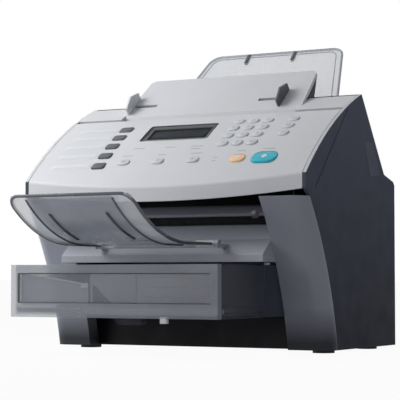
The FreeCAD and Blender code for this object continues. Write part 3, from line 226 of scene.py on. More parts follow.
def metal(name, colour, rough, spangle=0.0):
    """Plated or brushed sheet metal, brushed across the machine."""
    s = Surface(name)
    stretch = s.add("ShaderNodeMapping")
    stretch.inputs["Scale"].default_value = BRUSH
    s.link(s.place, stretch.inputs["Vector"])
    brushed = s.noise(40.0, 4.0, stretch.outputs[0])
    cells = s.add("ShaderNodeTexVoronoi")
    cells.inputs["Scale"].default_value = 90.0
    s.link(s.place, cells.inputs["Vector"])
    flake = s.remap(cells.outputs["Distance"], -spangle, spangle, 0.0, 0.6)
    tone = s.math("ADD", s.remap(brushed, 0.0, 1.0), flake)
    s.set(Base_Color=s.mix(tone, shade(colour, 0.82), shade(colour, 1.1)))
    s.set(Roughness=s.remap(brushed, rough - 0.06, rough + 0.1))
    s.set(Normal=s.bump(brushed, 0.15, 0.05 * MM))
    s.set(Metallic=1.0)
    return s


def rubber(name, colour):
    """Matt rubber with fine pores."""
    s = Surface(name)
    pores = s.noise(900.0, 4.0)
    s.set(Base_Color=s.mix(s.remap(pores, 0.0, 1.0), shade(colour, 0.8), shade(colour, 1.3)))
    s.set(Roughness=s.remap(s.noise(120.0), 0.7, 0.9))
    s.set(Normal=s.bump(pores, 0.5, 0.08 * MM))
    return s


def circuit(name):
    """Lacquered board: green resist with a grid of copper runs under it."""
    s = Surface(name)
    runs = s.add("ShaderNodeTexBrick")
    runs.inputs["Scale"].default_value = 130.0
    runs.inputs["Mortar Size"].default_value = 0.06
    turn = s.add("ShaderNodeMapping")
    turn.inputs["Rotation"].default_value = (0.0, math.radians(90), 0.0)
    s.link(s.place, turn.inputs["Vector"])
    s.link(turn.outputs[0], runs.inputs["Vector"])
    tone = s.mix(s.remap(s.noise(20.0), 0.0, 1.0), linear(18, 74, 46), linear(26, 92, 58))
    s.set(Base_Color=s.mix(runs.outputs["Fac"], tone, linear(70, 130, 80)))
    s.set(Roughness=s.remap(s.noise(200.0), 0.25, 0.4))
    s.set(Normal=s.bump(runs.outputs["Fac"], 0.2, 0.05 * MM))
    return s


LIGHT = linear(216, 217, 221)
DARK = linear(50, 53, 64)
MID = linear(164, 167, 179)
BLACK = linear(16, 16, 21)

mats = {}
mats["light"] = plastic("light_plastic", LIGHT, rough=0.42, bump=0.18, wear=1.05)
mats["tray"] = plastic("tray_plastic", LIGHT, rough=0.45, bump=0.18, wear=1.05)
mats["dark"] = plastic("dark_plastic", DARK, rough=0.5, bump=0.25, wear=1.5, gloss=0.12)
mats["black"] = plastic("black_plastic", BLACK, rough=0.5, bump=0.3, wear=1.7, gloss=0.12)
mats["inside"] = plastic("inside_plastic", linear(24, 24, 28), rough=0.55, bump=0.3, wear=1.4, gloss=0.12)
mats["grey"] = plastic("grey_plastic", linear(150, 152, 158), rough=0.42, bump=0.2, wear=1.2)
mats["guide_dark"] = plastic("guide_dark_plastic", linear(92, 95, 104), rough=0.42, bump=0.2, wear=1.3)
# This pale colour is raised in part as painted light, lifting the left document guide out of its shade.
mats["guide_light"] = plastic("guide_light_painted_lit", linear(222, 224, 229), rough=0.42, bump=0.2, wear=1.1)
mats["key"] = plastic("key_plastic", linear(212, 214, 219), rough=0.38, grain=2200.0, bump=0.12, wear=1.08)
mats["key_dark"] = plastic("key_dark_plastic", linear(84, 87, 97), rough=0.4, grain=2200.0, bump=0.12,
                           wear=1.3)
mats["teal"] = plastic("key_teal_plastic", linear(44, 188, 206), rough=0.35, grain=2200.0, bump=0.1, wear=1.2)
mats["orange"] = plastic("key_orange_plastic", linear(255, 212, 164), rough=0.35, grain=2200.0, bump=0.1,
                         wear=1.1)
for finish, name, colour in (("ink", "printed_ink", linear(172, 175, 182)),
                             ("ink_light", "printed_white", linear(228, 230, 234))):
    mats[finish] = plastic(name, colour, rough=0.6, grain=3000.0, bump=0.05, wear=1.0, edge=0.02 * MM)
mats["label"] = plastic("label_card", linear(222, 224, 228), rough=0.55, bump=0.1, wear=1.04)
# This steel is darkened in part as painted shade, so the chassis seen in the gap under the panel stays dark.
mats["dull"] = metal("dull_steel_painted_shade", linear(84, 86, 92), 0.5)
mats["steel"] = metal("plated_steel", linear(178, 181, 186), 0.32, spangle=0.12)
mats["plate"] = metal("plate_foil", linear(150, 153, 160), 0.45)
mats["brass"] = metal("contact_brass", linear(206, 176, 110), 0.25)
mats["rubber"] = rubber("black_rubber", linear(26, 26, 28))
mats["board"] = circuit("circuit_board")
mats["support"] = clear("clear_support", linear(206, 210, 217), 0.4, marks=0.04)
mats["smoke"] = clear("smoked_window", linear(150, 154, 165), 0.3)
mats["flap"] = clear("smoked_flap", linear(96, 100, 112), 0.6)
mats["lens"] = clear("display_lens", linear(17, 18, 24), 0.4, rough=0.06, gloss=0.03)
mats["slot"] = clear("slot_shadow", linear(52, 55, 64), 0.7)
mats["stop"] = clear("stop_plastic", linear(166, 170, 180), 0.6)
mats["rim"] = clear("clear_rim", linear(84, 88, 98), 0.8)
mats["rim_pale"] = clear("pale_rim", linear(170, 174, 184), 0.65)


# The exit tray's long ribs lie so far to each side; the sheet's tone changes there
EXIT_RIB_X = 51 * MM
RIB_BLUR = 1 * MM
# Depths between which the cassette's pale front frame ends, and between which its clear part does
FRAME_ENDS = (-146 * MM, -143 * MM)
CLEAR_ENDS = (-70 * MM, -20 * MM)
CLEAR_ALPHA = 0.42


def exit_sheet():
    """The exit tray's sheet: smoked in the middle, paler in the wings outside the two ribs."""
    s = clear("exit_sheet", linear(186, 190, 202), 0.5)
    across = s.math("ABSOLUTE", s.axes()[0])
    wing = s.remap(across, 0.0, 1.0, EXIT_RIB_X - RIB_BLUR, EXIT_RIB_X + RIB_BLUR)
    s.tint(wing, linear(232, 235, 241))
    return s


def cassette_body():
    """The cassette: dark and solid behind, seen through towards the front, with a pale front frame."""
    s = plastic("cassette_plastic", linear(68, 72, 86), rough=0.4, bump=0.25, wear=1.3)
    frame_share = s.remap(s.axes()[1], 1.0, 0.0, *FRAME_ENDS)
    s.tint(frame_share, s.mix(s.remap(s.noise(11.0), 0.0, 1.0), linear(174, 178, 188), linear(192, 196, 205)))
    seen = s.math("ADD", s.remap(s.noise(14.0), -0.04, 0.04), CLEAR_ALPHA)
    front = s.remap(s.axes()[1], 1.0, 0.0, *CLEAR_ENDS)
    s.set(Alpha=s.math("SUBTRACT", 1.0, s.math("MULTIPLY", front, s.math("SUBTRACT", 1.0, seen))))
    return s


def paint_shade_by_height(s, colour, share, start, end):
    """Paints shade on a finish by height: tints it by the share at the start, not at all at the end."""
    s.tint(s.remap(s.axes()[2], share, 0.0, start, end), colour)
    return s


# An edge takes the panel's colour within this depth under its arc and this turn from its slope, as a cosine
RIM_BAND = (2.2 * MM, 1.4 * MM)
RIM_FACING = (0.8, 0.86)


def light_rim(s):
    """Gives the top edges that carry on the control panel's curved face the panel's own colour."""
    middle = slope_matrix(NOSE, PANEL_ANGLE, 0.0, CHORD / 2, -CENTRE_DROP).translation
    axes = s.axes()
    back = s.math("SUBTRACT", axes[1], middle.y)
    up = s.math("SUBTRACT", axes[2], middle.z)
    square = s.math("ADD", s.math("MULTIPLY", back, back), s.math("MULTIPLY", up, up))
    near = s.remap(square, 0.0, 1.0, (PANEL_RADIUS - RIM_BAND[0]) ** 2, (PANEL_RADIUS - RIM_BAND[1]) ** 2)
    facing = s.add("ShaderNodeVectorMath", operation="DOT_PRODUCT")
    s.link(s.add("ShaderNodeTexCoord").outputs["Normal"], facing.inputs[0])
    facing.inputs[1].default_value = (0.0, -math.sin(PANEL_ANGLE), math.cos(PANEL_ANGLE))
    upward = s.remap(facing.outputs["Value"], 0.0, 1.0, *RIM_FACING)
    s.tint(s.math("MULTIPLY", upward, near), LIGHT)
    return s


# Side covers: painted shade, darker towards the bottom, by 0.8 of the dark tint at 10 mm up and none at 250 mm.
mats["side"] = paint_shade_by_height(plastic("side_plastic_painted_shade", linear(92, 97, 114), rough=0.5, bump=0.25, wear=1.3, gloss=0.03),
                    linear(22, 24, 33), 0.8, 10 * MM, 250 * MM)
light_rim(mats["side"])
mats["side_pale"] = plastic("side_pale_plastic", linear(104, 108, 124), rough=0.5, bump=0.3, wear=1.2,
                            gloss=0.03)
# Front pillars: painted shade, darker towards their feet, fading out by 50 mm up.
mats["mid"] = paint_shade_by_height(plastic("mid_plastic", MID, rough=0.45, bump=0.3, wear=1.3, gloss=0.12),
                   linear(26, 28, 34), 0.9, 12 * MM, 50 * MM)
# Front cover: painted shade, darker towards its top from 104 mm up to 156 mm, in the recess under the panel's
# nose.
mats["cover"] = paint_shade_by_height(plastic("cover_plastic_painted_shade", linear(176, 179, 189), rough=0.45, bump=0.25, wear=1.25),
                     linear(84, 87, 96), 0.9, 156 * MM, 104 * MM)
mats["exit"] = exit_sheet()
mats["cassette"] = cassette_body()

finishes = {
    "light": ["control_panel"],
    "tray": ["document_tray"],
    "side": ["side_cover_left", "side_cover_right"],
    "dark": ["rear_cover"],
    "mid": ["front_pillar_left", "front_pillar_right"],
    "cover": ["front_cover"],
    "black": ["base_pan", "rear_sockets"],
    "inside": ["scan_deck", "toner_cartridge", "laser_unit"],
    "cassette": ["cassette_tray"],
    "guide_dark": ["guide_right"],
    "guide_light": ["guide_left"],
    "grey": ["guide_pinion"],
    "support": ["paper_support"],
    "exit": ["exit_tray"],
    "smoke": ["cassette_window"],
    "lens": ["display_window"],
    "flap": ["tray_extension"],
    "steel": ["panel_pins", "case_screws"],
    "dull": ["lift_plate", "chassis_frame", "drive_motor"],
    "rubber": ["feet", "pickup_roller", "document_roller", "fuser_roller"],
    "board": ["main_board", "power_board", "panel_board", "image_sensor"],
}
for finish, members in finishes.items():
    for name in members:
        nodes[name].data.materials.clear()
        nodes[name].data.materials.append(mats[finish].material)


# Building pieces

# Faces that meet at a sharper turn keep a hard edge
SHARP = math.radians(40)
# Steps around a rounded corner of an outline, and around a rounded-over edge
CORNER_STEPS = 6
EDGE_STEPS = 5
# Rings that close a crowned top, as shares of its outline
CROWN_RINGS = (0.75, 0.45, 0.15)
# A font's size against the height of its digits
FONT_SIZE = 1.4


def piece(name, mesh, body, finish, smooth=True):
    """A new object that rides on a body."""
    item = bpy.data.objects.new(name, mesh)
    scene.collection.objects.link(item)
    mesh.materials.append(mats[finish].material)
    if smooth:
        mesh.shade_smooth()
        mesh.set_sharp_from_angle(angle=SHARP)
    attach(item, body)
    return item


def grid_mesh(name, rings):
    """Skins a row of rings of points and closes both ends."""
    mesh = bpy.data.meshes.new(name)
    count = len(rings[0])
    points = [p for ring in rings for p in ring]
    faces = []
    for i in range(len(rings) - 1):
        for j in range(count):
            a = i * count + j
            b = i * count + (j + 1) % count
            faces.append((a, b, b + count, a + count))
    faces.append(tuple(reversed(range(count))))
    faces.append(tuple(range((len(rings) - 1) * count, len(rings) * count)))
    mesh.from_pydata([tuple(p) for p in points], [], faces)
    mesh.update()
    return mesh


def rounded_outline(wide, tall, radius):
    """A rectangle about its middle with rounded corners."""
    points = []
    for quarter, (sx, sy) in enumerate(((1, 1), (-1, 1), (-1, -1), (1, -1))):
        centre = Vector((sx * (wide / 2 - radius), sy * (tall / 2 - radius)))
        for step in range(CORNER_STEPS + 1):
            angle = math.radians(90 * (quarter + step / CORNER_STEPS))
            points.append(centre + Vector((math.cos(angle), math.sin(angle))) * radius)
    return points


def moulded(name, wide, tall, radius, low, top, edge, dome=0.0):
    """A rounded plate from low to top, its upper edge rounded over and its top crowned."""
    rings = []
    outline = rounded_outline(wide, tall, radius)
    rings.append([Vector((p.x, p.y, low)) for p in outline])
    for step in range(EDGE_STEPS + 1):
        angle = math.radians(90 * step / EDGE_STEPS)
        inset = edge * (1 - math.cos(angle))
        height = top - edge + edge * math.sin(angle)
        rings.append([Vector((p.x * (1 - 2 * inset / wide), p.y * (1 - 2 * inset / tall), height))
                      for p in outline])
    for share in CROWN_RINGS:
        rings.append([Vector((p.x * share, p.y * share, top + dome * (1 - share * share))) for p in outline])
    return grid_mesh(name, rings)


def tube(name, path, radius, sides=8):
    """A round bead along a row of points."""
    points = [Vector(p) for p in path]
    rings = []
    for i, point in enumerate(points):
        ahead = points[min(i + 1, len(points) - 1)] - points[max(i - 1, 0)]
        ahead.normalize()
        side = ahead.cross(Vector((0, 0, 1)) if abs(ahead.z) < 0.9 else Vector((1, 0, 0))).normalized()
        up = side.cross(ahead).normalized()
        ring = []
        for k in range(sides):
            angle = 2 * math.pi * k / sides
            ring.append(point + side * math.cos(angle) * radius + up * math.sin(angle) * radius)
        rings.append(ring)
    return grid_mesh(name, rings)


def moved(mesh, matrix):
    """The mesh itself, put in its place."""
    mesh.transform(matrix)
    return mesh


def joined(name, meshes):
    """One mesh of several."""
    work = bmesh.new()
    for mesh in meshes:
        work.from_mesh(mesh)
        bpy.data.meshes.remove(mesh)
    whole = bpy.data.meshes.new(name)
    work.to_mesh(whole)
    work.free()
    return whole


def block(name, low, high, edge):
    """A box between two corners with softened edges, in millimetres."""
    work = bmesh.new()
    bmesh.ops.create_cube(work, size=1.0)
    low, high = Vector(low) * MM, Vector(high) * MM
    for vert in work.verts:
        vert.co = Vector((a + (b - a) * (c + 0.5) for a, b, c in zip(low, high, vert.co)))
    bmesh.ops.bevel(work, geom=list(work.edges), offset=edge * MM, segments=3, profile=0.5, affect="EDGES")
    mesh = bpy.data.meshes.new(name)
    work.to_mesh(mesh)
    work.free()
    return mesh


def flat_shape(name, points, thick):
    """A thin flat shape: printed ink."""
    rings = [[Vector((p[0], p[1], 0.0)) for p in points], [Vector((p[0], p[1], thick)) for p in points]]
    return grid_mesh(name, rings)


def bar_outline(wide, tall):
    """A rectangle about its middle, from millimetres."""
    return [(a * wide / 2 * MM, b * tall / 2 * MM) for a, b in ((-1, -1), (1, -1), (1, 1), (-1, 1))]


def text_mesh(name, text, height, thick):
    """A digit or a sign as a thin solid."""
    curve = bpy.data.curves.new(name, "FONT")
    curve.body = text
    curve.size = height * FONT_SIZE
    curve.align_x = "CENTER"
    curve.align_y = "CENTER"
    curve.extrude = thick
    holder = bpy.data.objects.new(f"{name}_text", curve)
    scene.collection.objects.link(holder)
    bpy.context.view_layer.update()
    mesh = bpy.data.meshes.new_from_object(holder.evaluated_get(bpy.context.evaluated_depsgraph_get()))
    mesh.name = name
    bpy.data.objects.remove(holder)
    bpy.data.curves.remove(curve)
    return mesh


# Keys: a crowned cap on each, with its digit or sign. Places and sizes are in millimetres along the panel's chord

KEY_LOW = -3.2 * MM
KEY_PROUD = 1.6 * MM
KEY_EDGE = 1.1 * MM
BIG_KEY = 14
DOME = 0.35 * MM
BIG_DOME = 0.5 * MM
DIGIT_HEIGHT = 4.6 * MM
INK = 0.03 * MM
INK_SINK = 0.02 * MM

PAD_X, PAD_PITCH = 74, 18
ROW_TOP, ROW_PITCH = 103.5, 16
SIDE_X = 123
QUICK_X, QUICK_TOP, QUICK_PITCH, QUICK_COUNT = -88, 97.2, 18.6, 5
FRONT_ROW = 27

# Width, height, corner, finish and slot of each kind of key
PAD_KEY = (13, 10, 4.6, "key", "key_light")
QUICK_KEY = (17, 11, 3.0, "key_dark", "key_dark")
FRONT_KEY = (15, 10, 4.6, "key", "key_light")
STOP_KEY = (18, 14, 6.4, "orange", "key_orange")
START_KEY = (30, 20, 9.2, "teal", "key_teal")

pad_names = [["one", "two", "three"], ["four", "five", "six"], ["seven", "eight", "nine"],
             ["star", "zero", "hash"]]
legends = {"one": "1", "two": "2", "three": "3", "four": "4", "five": "5", "six": "6", "seven": "7",
           "eight": "8", "nine": "9", "star": "*", "zero": "0", "hash": "#"}
key_places = {}
for row, line in enumerate(pad_names):
    for column, name in enumerate(line):
        key_places[name] = (PAD_X + PAD_PITCH * (column - 1), ROW_TOP - ROW_PITCH * row, *PAD_KEY)
for row, name in enumerate(("redial", "pause", "mute")):
    key_places[name] = (SIDE_X, ROW_TOP - ROW_PITCH * row, *PAD_KEY)
for row in range(QUICK_COUNT):
    key_places[f"quick_{row + 1}"] = (QUICK_X, QUICK_TOP - QUICK_PITCH * row, *QUICK_KEY)
for name, x in (("menu", -57), ("back", -13), ("forward", 31)):
    key_places[name] = (x, FRONT_ROW, *FRONT_KEY)
key_places["stop"] = (86, FRONT_ROW, *STOP_KEY)
key_places["start"] = (118, FRONT_ROW, *START_KEY)


def symbol(name, kind):
    """Plain printed signs for the keys that carry no digit, drawn in millimetres."""
    arrow = [(-1.6, -2.0), (2.0, 0.0), (-1.6, 2.0)]
    bar = [(-2.6, -0.45), (2.6, -0.45), (2.6, 0.45), (-2.6, 0.45)]
    shapes = {
        "forward": [arrow],
        "back": [[(-a, -b) for a, b in arrow]],
        "menu": [[(a, b + shift) for a, b in bar] for shift in (-1.5, 0.0, 1.5)],
        "stop": [[(-2.2, -2.2), (2.2, -2.2), (2.2, 2.2), (-2.2, 2.2)]],
        "start": [[(0, -4.4), (3.6, 0), (0, 4.4), (-3.6, 0)]],
        "pause": [[(a - 1.4, -1.9), (a, -1.9), (a, 1.9), (a - 1.4, 1.9)] for a in (-0.6, 2.0)],
        "redial": [[(a, b - 1.0) for a, b in ((-2.6, 0), (0, 2.2), (2.6, 0), (1.6, 0), (0, 1.2), (-1.6, 0))]],
        "mute": [[(-2.4, -0.5), (2.4, -0.5), (2.4, 0.5), (-2.4, 0.5)]],
    }
    return joined(name, [flat_shape(f"{name}_{i}", [(a * MM, b * MM) for a, b in points], INK)
                         for i, points in enumerate(shapes[kind])])


for name, (x, v, wide, tall, radius, finish, slot) in key_places.items():
    node = f"key_{name}"
    middle = slope_matrix(NOSE, PANEL_ANGLE, x * MM, v * MM, 0.0)
    top = crown(v * MM) + KEY_PROUD
    dome = DOME if tall < BIG_KEY else BIG_DOME
    cap = moulded(f"{node}_cap", wide * MM, tall * MM, radius * MM, KEY_LOW, top - dome, KEY_EDGE, dome)
    cap_item = piece(f"{node}_cap", moved(cap, middle), node, finish)
    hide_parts(node)
    if name in legends:
        sign = text_mesh(f"{node}_legend", legends[name], DIGIT_HEIGHT, INK)
    elif name.startswith("quick"):
        continue
    else:
        sign = symbol(f"{node}_legend", name)
    ink = "ink_light" if name in ("start", "stop") else "ink"
    face = middle @ Matrix.Translation((0, 0, top - INK_SINK))
    piece(f"{node}_legend", moved(sign, face), node, ink, smooth=False)


# Control panel: label strips beside the quick keys, printed marks, display cell

STRIP_X = -126
STRIP_SIZE = (52 * MM, 8.5 * MM, 1.2 * MM)
STRIP_LOW, STRIP_TOP, STRIP_EDGE = -0.2 * MM, 0.12 * MM, 0.08 * MM
PRINT_LIFT = 0.02 * MM
RULE_SIZE = (44, 0.4)
RULE_DROP = 1.6
RULE_LIFT = 0.15 * MM
MARK_TALL = 1.1
# Place across, place up the panel and width of each printed mark, in millimetres
MARKS = ((-49, 53, 14), (-8.6, 53, 12), (25.6, 53, 16), (25.6, 48, 12), (-57, 39, 13), (-13, 39, 10), (31, 39, 15),
         (58, 30, 5), (58, 24, 5), (86, 40, 10), (118, 42, 14))
CELL_SIZE = (68 * MM, 14 * MM, 1.0 * MM)
CELL_LOW, CELL_TOP, CELL_EDGE = -0.4 * MM, 0.2 * MM, 0.1 * MM
CELL_PLACE = (-13 * MM, 86 * MM, -2.9 * MM)


def printed(name, x, v, size, lift):
    """A printed bar on the panel, placed in millimetres."""
    bar = flat_shape(name, bar_outline(*size), INK)
    piece(name, moved(bar, on_panel(x * MM, v * MM, lift)), "panel", "ink", smooth=False)


for row in range(QUICK_COUNT):
    v = QUICK_TOP - QUICK_PITCH * row
    strip = moulded(f"label_strip_{row + 1}", *STRIP_SIZE, STRIP_LOW, STRIP_TOP, STRIP_EDGE)
    piece(f"label_strip_{row + 1}", moved(strip, on_panel(STRIP_X * MM, v * MM, PRINT_LIFT)), "panel", "label")
    printed(f"label_rule_{row + 1}", STRIP_X, v - RULE_DROP, RULE_SIZE, RULE_LIFT)
for i, (x, v, wide) in enumerate(MARKS):
    printed(f"panel_mark_{i + 1}", x, v, (wide, MARK_TALL), PRINT_LIFT)


def lcd():
    """Display glass, switched off: blue-grey with a faint dot matrix."""
    s = Surface("display_glass")
    dots = s.add("ShaderNodeTexChecker")
    dots.inputs["Scale"].default_value = 1600.0
    dots.inputs["Color1"].default_value = linear(150, 158, 176)
    dots.inputs["Color2"].default_value = linear(140, 148, 166)
    s.link(s.place, dots.inputs["Vector"])
    patch = s.remap(s.noise(30.0), 0.0, 0.3, 0.35, 0.65)
    s.set(Base_Color=s.mix(patch, dots.outputs["Color"], linear(128, 136, 154)))
    s.set(Roughness=s.remap(s.noise(60.0), 0.15, 0.25))
    s.set(Specular_IOR_Level=0.08)
    return s


mats["lcd"] = lcd()
cell = moulded("display_cell", *CELL_SIZE, CELL_LOW, CELL_TOP, CELL_EDGE)
piece("display_cell", moved(cell, on_chord(*CELL_PLACE)), "panel", "lcd")


# Exit tray: a bead along its edge, two long ribs under the sheet and two dark slots

EXIT_HINGE = Vector((-63, 117)) * MM
EXIT_FLAT = 57 * MM
EXIT_RADIUS = 162 * MM
EXIT_HALF = 73 * MM
EXIT_END = 113 * MM
EXIT_CORNER = 12 * MM
EXIT_TIP = EXIT_FLAT + EXIT_END
RIM_START = 8 * MM
RIM_INSET = 0.4 * MM
RIM_RADIUS = 1.7 * MM
RIM_SIDES = 10
RIB_START = 30 * MM
RIB_SHORT = 33 * MM
RIB_LIFT = -1.4 * MM
RIB_RADIUS = 1.1 * MM
SLOT_X = 34 * MM
SLOT_START = 98
SLOT_LENGTH = 52
SLOT_LIFT = -1.0 * MM
SLOT_RADIUS = 1.7 * MM
RUN_STEPS = 30
TURN_STEPS = 8
SLOT_STEPS = 20
SIDES = ((-1, "left"), (1, "right"))


def exit_point(x, reach, lift):
    """On the tray's sheet: reach is the plan distance from the hinge towards the front."""
    if reach <= EXIT_FLAT:
        return Vector((x, EXIT_HINGE.x - reach, EXIT_HINGE.y + lift))
    off = reach - EXIT_FLAT
    share = off / EXIT_RADIUS
    rise = math.sqrt(1 - share * share)
    centre = Vector((EXIT_HINGE.x - EXIT_FLAT, EXIT_HINGE.y + EXIT_RADIUS))
    radius = EXIT_RADIUS - lift
    return Vector((x, centre.x - radius * share, centre.y - radius * rise))


outline = []
for side, name in SIDES:
    run = []
    for step in range(RUN_STEPS + 1):
        reach = RIM_START + (EXIT_TIP - EXIT_CORNER - RIM_START) * step / RUN_STEPS
        run.append(exit_point(side * (EXIT_HALF - RIM_INSET), reach, 0.0))
    for step in range(1, TURN_STEPS + 1):
        angle = math.radians(90 * step / TURN_STEPS)
        x = EXIT_HALF - EXIT_CORNER + EXIT_CORNER * math.cos(angle) - RIM_INSET
        run.append(exit_point(side * x, EXIT_TIP - EXIT_CORNER + EXIT_CORNER * math.sin(angle), 0.0))
    outline.append(run)
rim_path = outline[0] + list(reversed(outline[1]))
piece("exit_tray_rim", tube("exit_tray_rim", rim_path, RIM_RADIUS, RIM_SIDES), "exit_tray", "rim")
for side, name in SIDES:
    rib = [exit_point(side * EXIT_RIB_X, RIB_START + (EXIT_TIP - RIB_SHORT) * step / RUN_STEPS, RIB_LIFT)
           for step in range(RUN_STEPS + 1)]
    piece(f"exit_tray_rib_{name}", tube(f"exit_tray_rib_{name}", rib, RIB_RADIUS), "exit_tray", "rim")
for side, name in SIDES:
    slot_run = [exit_point(side * SLOT_X, (SLOT_START + SLOT_LENGTH * step / SLOT_STEPS) * MM, SLOT_LIFT)
                for step in range(SLOT_STEPS + 1)]
    piece(f"exit_tray_slot_{name}", tube(f"exit_tray_slot_{name}", slot_run, SLOT_RADIUS), "exit_tray", "slot")


# Cassette: the paper stop behind its window with its lever, post and ribs, the window's gasket, the pull tab, and
# a knob and the catch whose pale colours are also painted highlights, all in millimetres


def wall_shape(name, points, y, thick):
    """An upright plate across the machine from points in X and Z, in millimetres."""
    rings = [[Vector((x, depth, z)) * MM for x, z in points] for depth in (y, y + thick)]
    return grid_mesh(name, rings)


STOP_Y = -147.2
STOP_THICK = 1.2
STOP_OUTLINE = [(-115, 52), (-31, 52), (-31, 74), (-115, 86)]
STOP_TOP = ((-115, 86), (-73, 80), (-31, 74))
LEVER_OUTLINE = [(-25, 54), (-2, 54), (-12, 62), (-25, 74)]
STOP_RIB_X = (40, 76, 112)
STOP_RIB_Z = (62, 72, 82)
GASKET_Y = -150.1
GASKET = ((-117, 55), (117, 55), (117, 86), (-117, 86))
THIN_BEAD = 0.7 * MM
STOP_BEAD = 0.9 * MM

stop = wall_shape("paper_stop", STOP_OUTLINE, STOP_Y, STOP_THICK)
piece("paper_stop", stop, "cassette", "stop", smooth=False)
stop_edge = [Vector((x, STOP_Y + STOP_THICK / 2, z)) * MM for x, z in STOP_TOP]
piece("paper_stop_edge", tube("paper_stop_edge", stop_edge, STOP_BEAD), "cassette", "light")
# A small light knob on the paper stop; its pale colour is also a painted glint.
knob_glint = block("stop_knob_glint", (-40, STOP_Y - 0.6, 71), (-31, STOP_Y, 76), 0.25)
piece("stop_knob_glint", knob_glint, "cassette", "light")
lever = wall_shape("stop_lever", LEVER_OUTLINE, STOP_Y, STOP_THICK)
piece("stop_lever", lever, "cassette", "black", smooth=False)
panel_behind = block("stop_panel", (-30, STOP_Y + 1.4, 54), (114, STOP_Y + 2.6, 86), 0.4)
piece("stop_panel", panel_behind, "cassette", "stop")
post = block("stop_post", (9, STOP_Y, 54), (27, STOP_Y + 1.4, 85), 0.4)
piece("stop_post", post, "cassette", "stop")
for i, z in enumerate(STOP_RIB_Z):
    rib = [Vector((x, STOP_Y, z)) * MM for x in STOP_RIB_X]
    piece(f"stop_rib_{i + 1}", tube(f"stop_rib_{i + 1}", rib, THIN_BEAD), "cassette", "grey")
gasket = [Vector((x, GASKET_Y, z)) * MM for x, z in GASKET]
bars = [tube(f"gasket_{i}", [gasket[i - 1], gasket[i]], THIN_BEAD) for i in (1, 2, 3, 0)]
piece("window_gasket", joined("window_gasket", bars), "cassette", "slot")
tab = block("cassette_pull", (58, -152, 35), (66, -147, 42), 0.8)
piece("cassette_pull", tab, "cassette", "guide_light")
# A small light catch at the cassette's top right corner; its pale colour is also a painted highlight.
catch_highlight = block("cassette_catch_highlight", (120, -42, 94), (124.5, -36, 97.2), 0.5)
piece("cassette_catch_highlight", catch_highlight, "cassette", "light")


# Front recess: the hub at the end of the delivery roller

HUB_ENDS = ((116.5, -60, 147.5), (121.5, -60, 147.5))
HUB_RADIUS = 4.0 * MM
HUB_SIDES = 20

hub = tube("delivery_hub", [Vector(end) * MM for end in HUB_ENDS], HUB_RADIUS, HUB_SIDES)
piece("delivery_hub", hub, "chassis", "guide_dark")


# Side covers: a thin, paler plate under each rear slope

GRIP = [(95, 233), (118, 233), (140, 198), (111, 194)]
GRIP_X = (175.6, 176.25)
for side, name in SIDES:
    rings = [[Vector((side * x, y, z)) * MM for y, z in GRIP] for x in GRIP_X]
    piece(f"side_pale_patch_{name}", grid_mesh(f"side_pale_patch_{name}", rings), "chassis", "side_pale",
          smooth=False)


# Back: driver recesses in the screws, a bare plate, contacts in the sockets, all in millimetres

SCREW_Y = 184.8
SCREWS = ((-150.4, 20.6), (150.4, 20.6), (-150.4, 129.4), (150.4, 129.4))
RECESS_DEEP, RECESS_PROUD = 0.3, 0.05
RECESS_LONG, RECESS_THIN = 1.9, 0.45
SOCKET_Z = 28.5
LINE_SOCKETS = (("line", 94), ("phone", 118))
PIN_COUNT, PIN_PITCH, PIN_FIRST, PIN_WIDE = 4, 2.0, -3.6, 1.2
PIN_Y, PIN_Z = (168, 177), (1.5, 2.5)
INLET_X = -106
BLADES = ((-7, -1.5), (0, 2.5), (7, -1.5))
BLADE_Y = (166, 177)
BLADE_HALF = (1.0, 2.5)

for i, (x, z) in enumerate(SCREWS):
    bars = [block(f"recess_{i}_{k}", (x - a, SCREW_Y - RECESS_DEEP, z - b), (x + a, SCREW_Y + RECESS_PROUD, z + b),
                  0.02)
            for k, (a, b) in enumerate(((RECESS_LONG, RECESS_THIN), (RECESS_THIN, RECESS_LONG)))]
    piece(f"screw_recess_{i + 1}", joined(f"screw_recess_{i + 1}", bars), "chassis", "black")
plate = block("bare_plate", (-34, 182.8, 58), (34, 183.3, 92), 0.2)
piece("bare_plate", plate, "chassis", "plate")
for name, middle in LINE_SOCKETS:
    pins = []
    for k in range(PIN_COUNT):
        x = middle + PIN_FIRST + PIN_PITCH * k
        pins.append(block(f"{name}_pin_{k}", (x, PIN_Y[0], SOCKET_Z + PIN_Z[0]),
                          (x + PIN_WIDE, PIN_Y[1], SOCKET_Z + PIN_Z[1]), 0.2))
    piece(f"{name}_contacts", joined(f"{name}_contacts", pins), "chassis", "brass")
blades = []
for k, (dx, dz) in enumerate(BLADES):
    x, z = INLET_X + dx, SOCKET_Z + dz
    blades.append(block(f"blade_{k}", (x - BLADE_HALF[0], BLADE_Y[0], z - BLADE_HALF[1]),
                        (x + BLADE_HALF[0], BLADE_Y[1], z + BLADE_HALF[1]), 0.3))
piece("inlet_blades", joined("inlet_blades", blades), "chassis", "steel")


# Rear support: a bead along its edge, a moulded line inside it and two clips

SUPPORT_FOOT = Vector((0.0, 0.121233, 0.241))
SUPPORT_ANGLE = math.radians(47)
# Half outlines of the bead and of the line, and their corners, in millimetres across and up the support
SUPPORT_RIM = [(87.4, 6), (87.4, 30), (112.4, 62), (89.4, 163.4), (0, 163.4)]
SUPPORT_RIM_CORNER = 16
SUPPORT_LINE = [(104, 66), (83.5, 157), (0, 157)]
SUPPORT_LINE_CORNER = 11
CLIPS = (("left", -38), ("right", 26))
SUPPORT_RIM_RADIUS = 1.5 * MM
SUPPORT_LINE_RADIUS = 0.6 * MM
SUPPORT_LINE_LIFT = 1.2 * MM
CLIP_LOW, CLIP_HIGH, CLIP_EDGE = (-2.0, 0, -2.2), (2.0, 16, 2.2), 0.6
CLIP_HEIGHT = 147 * MM


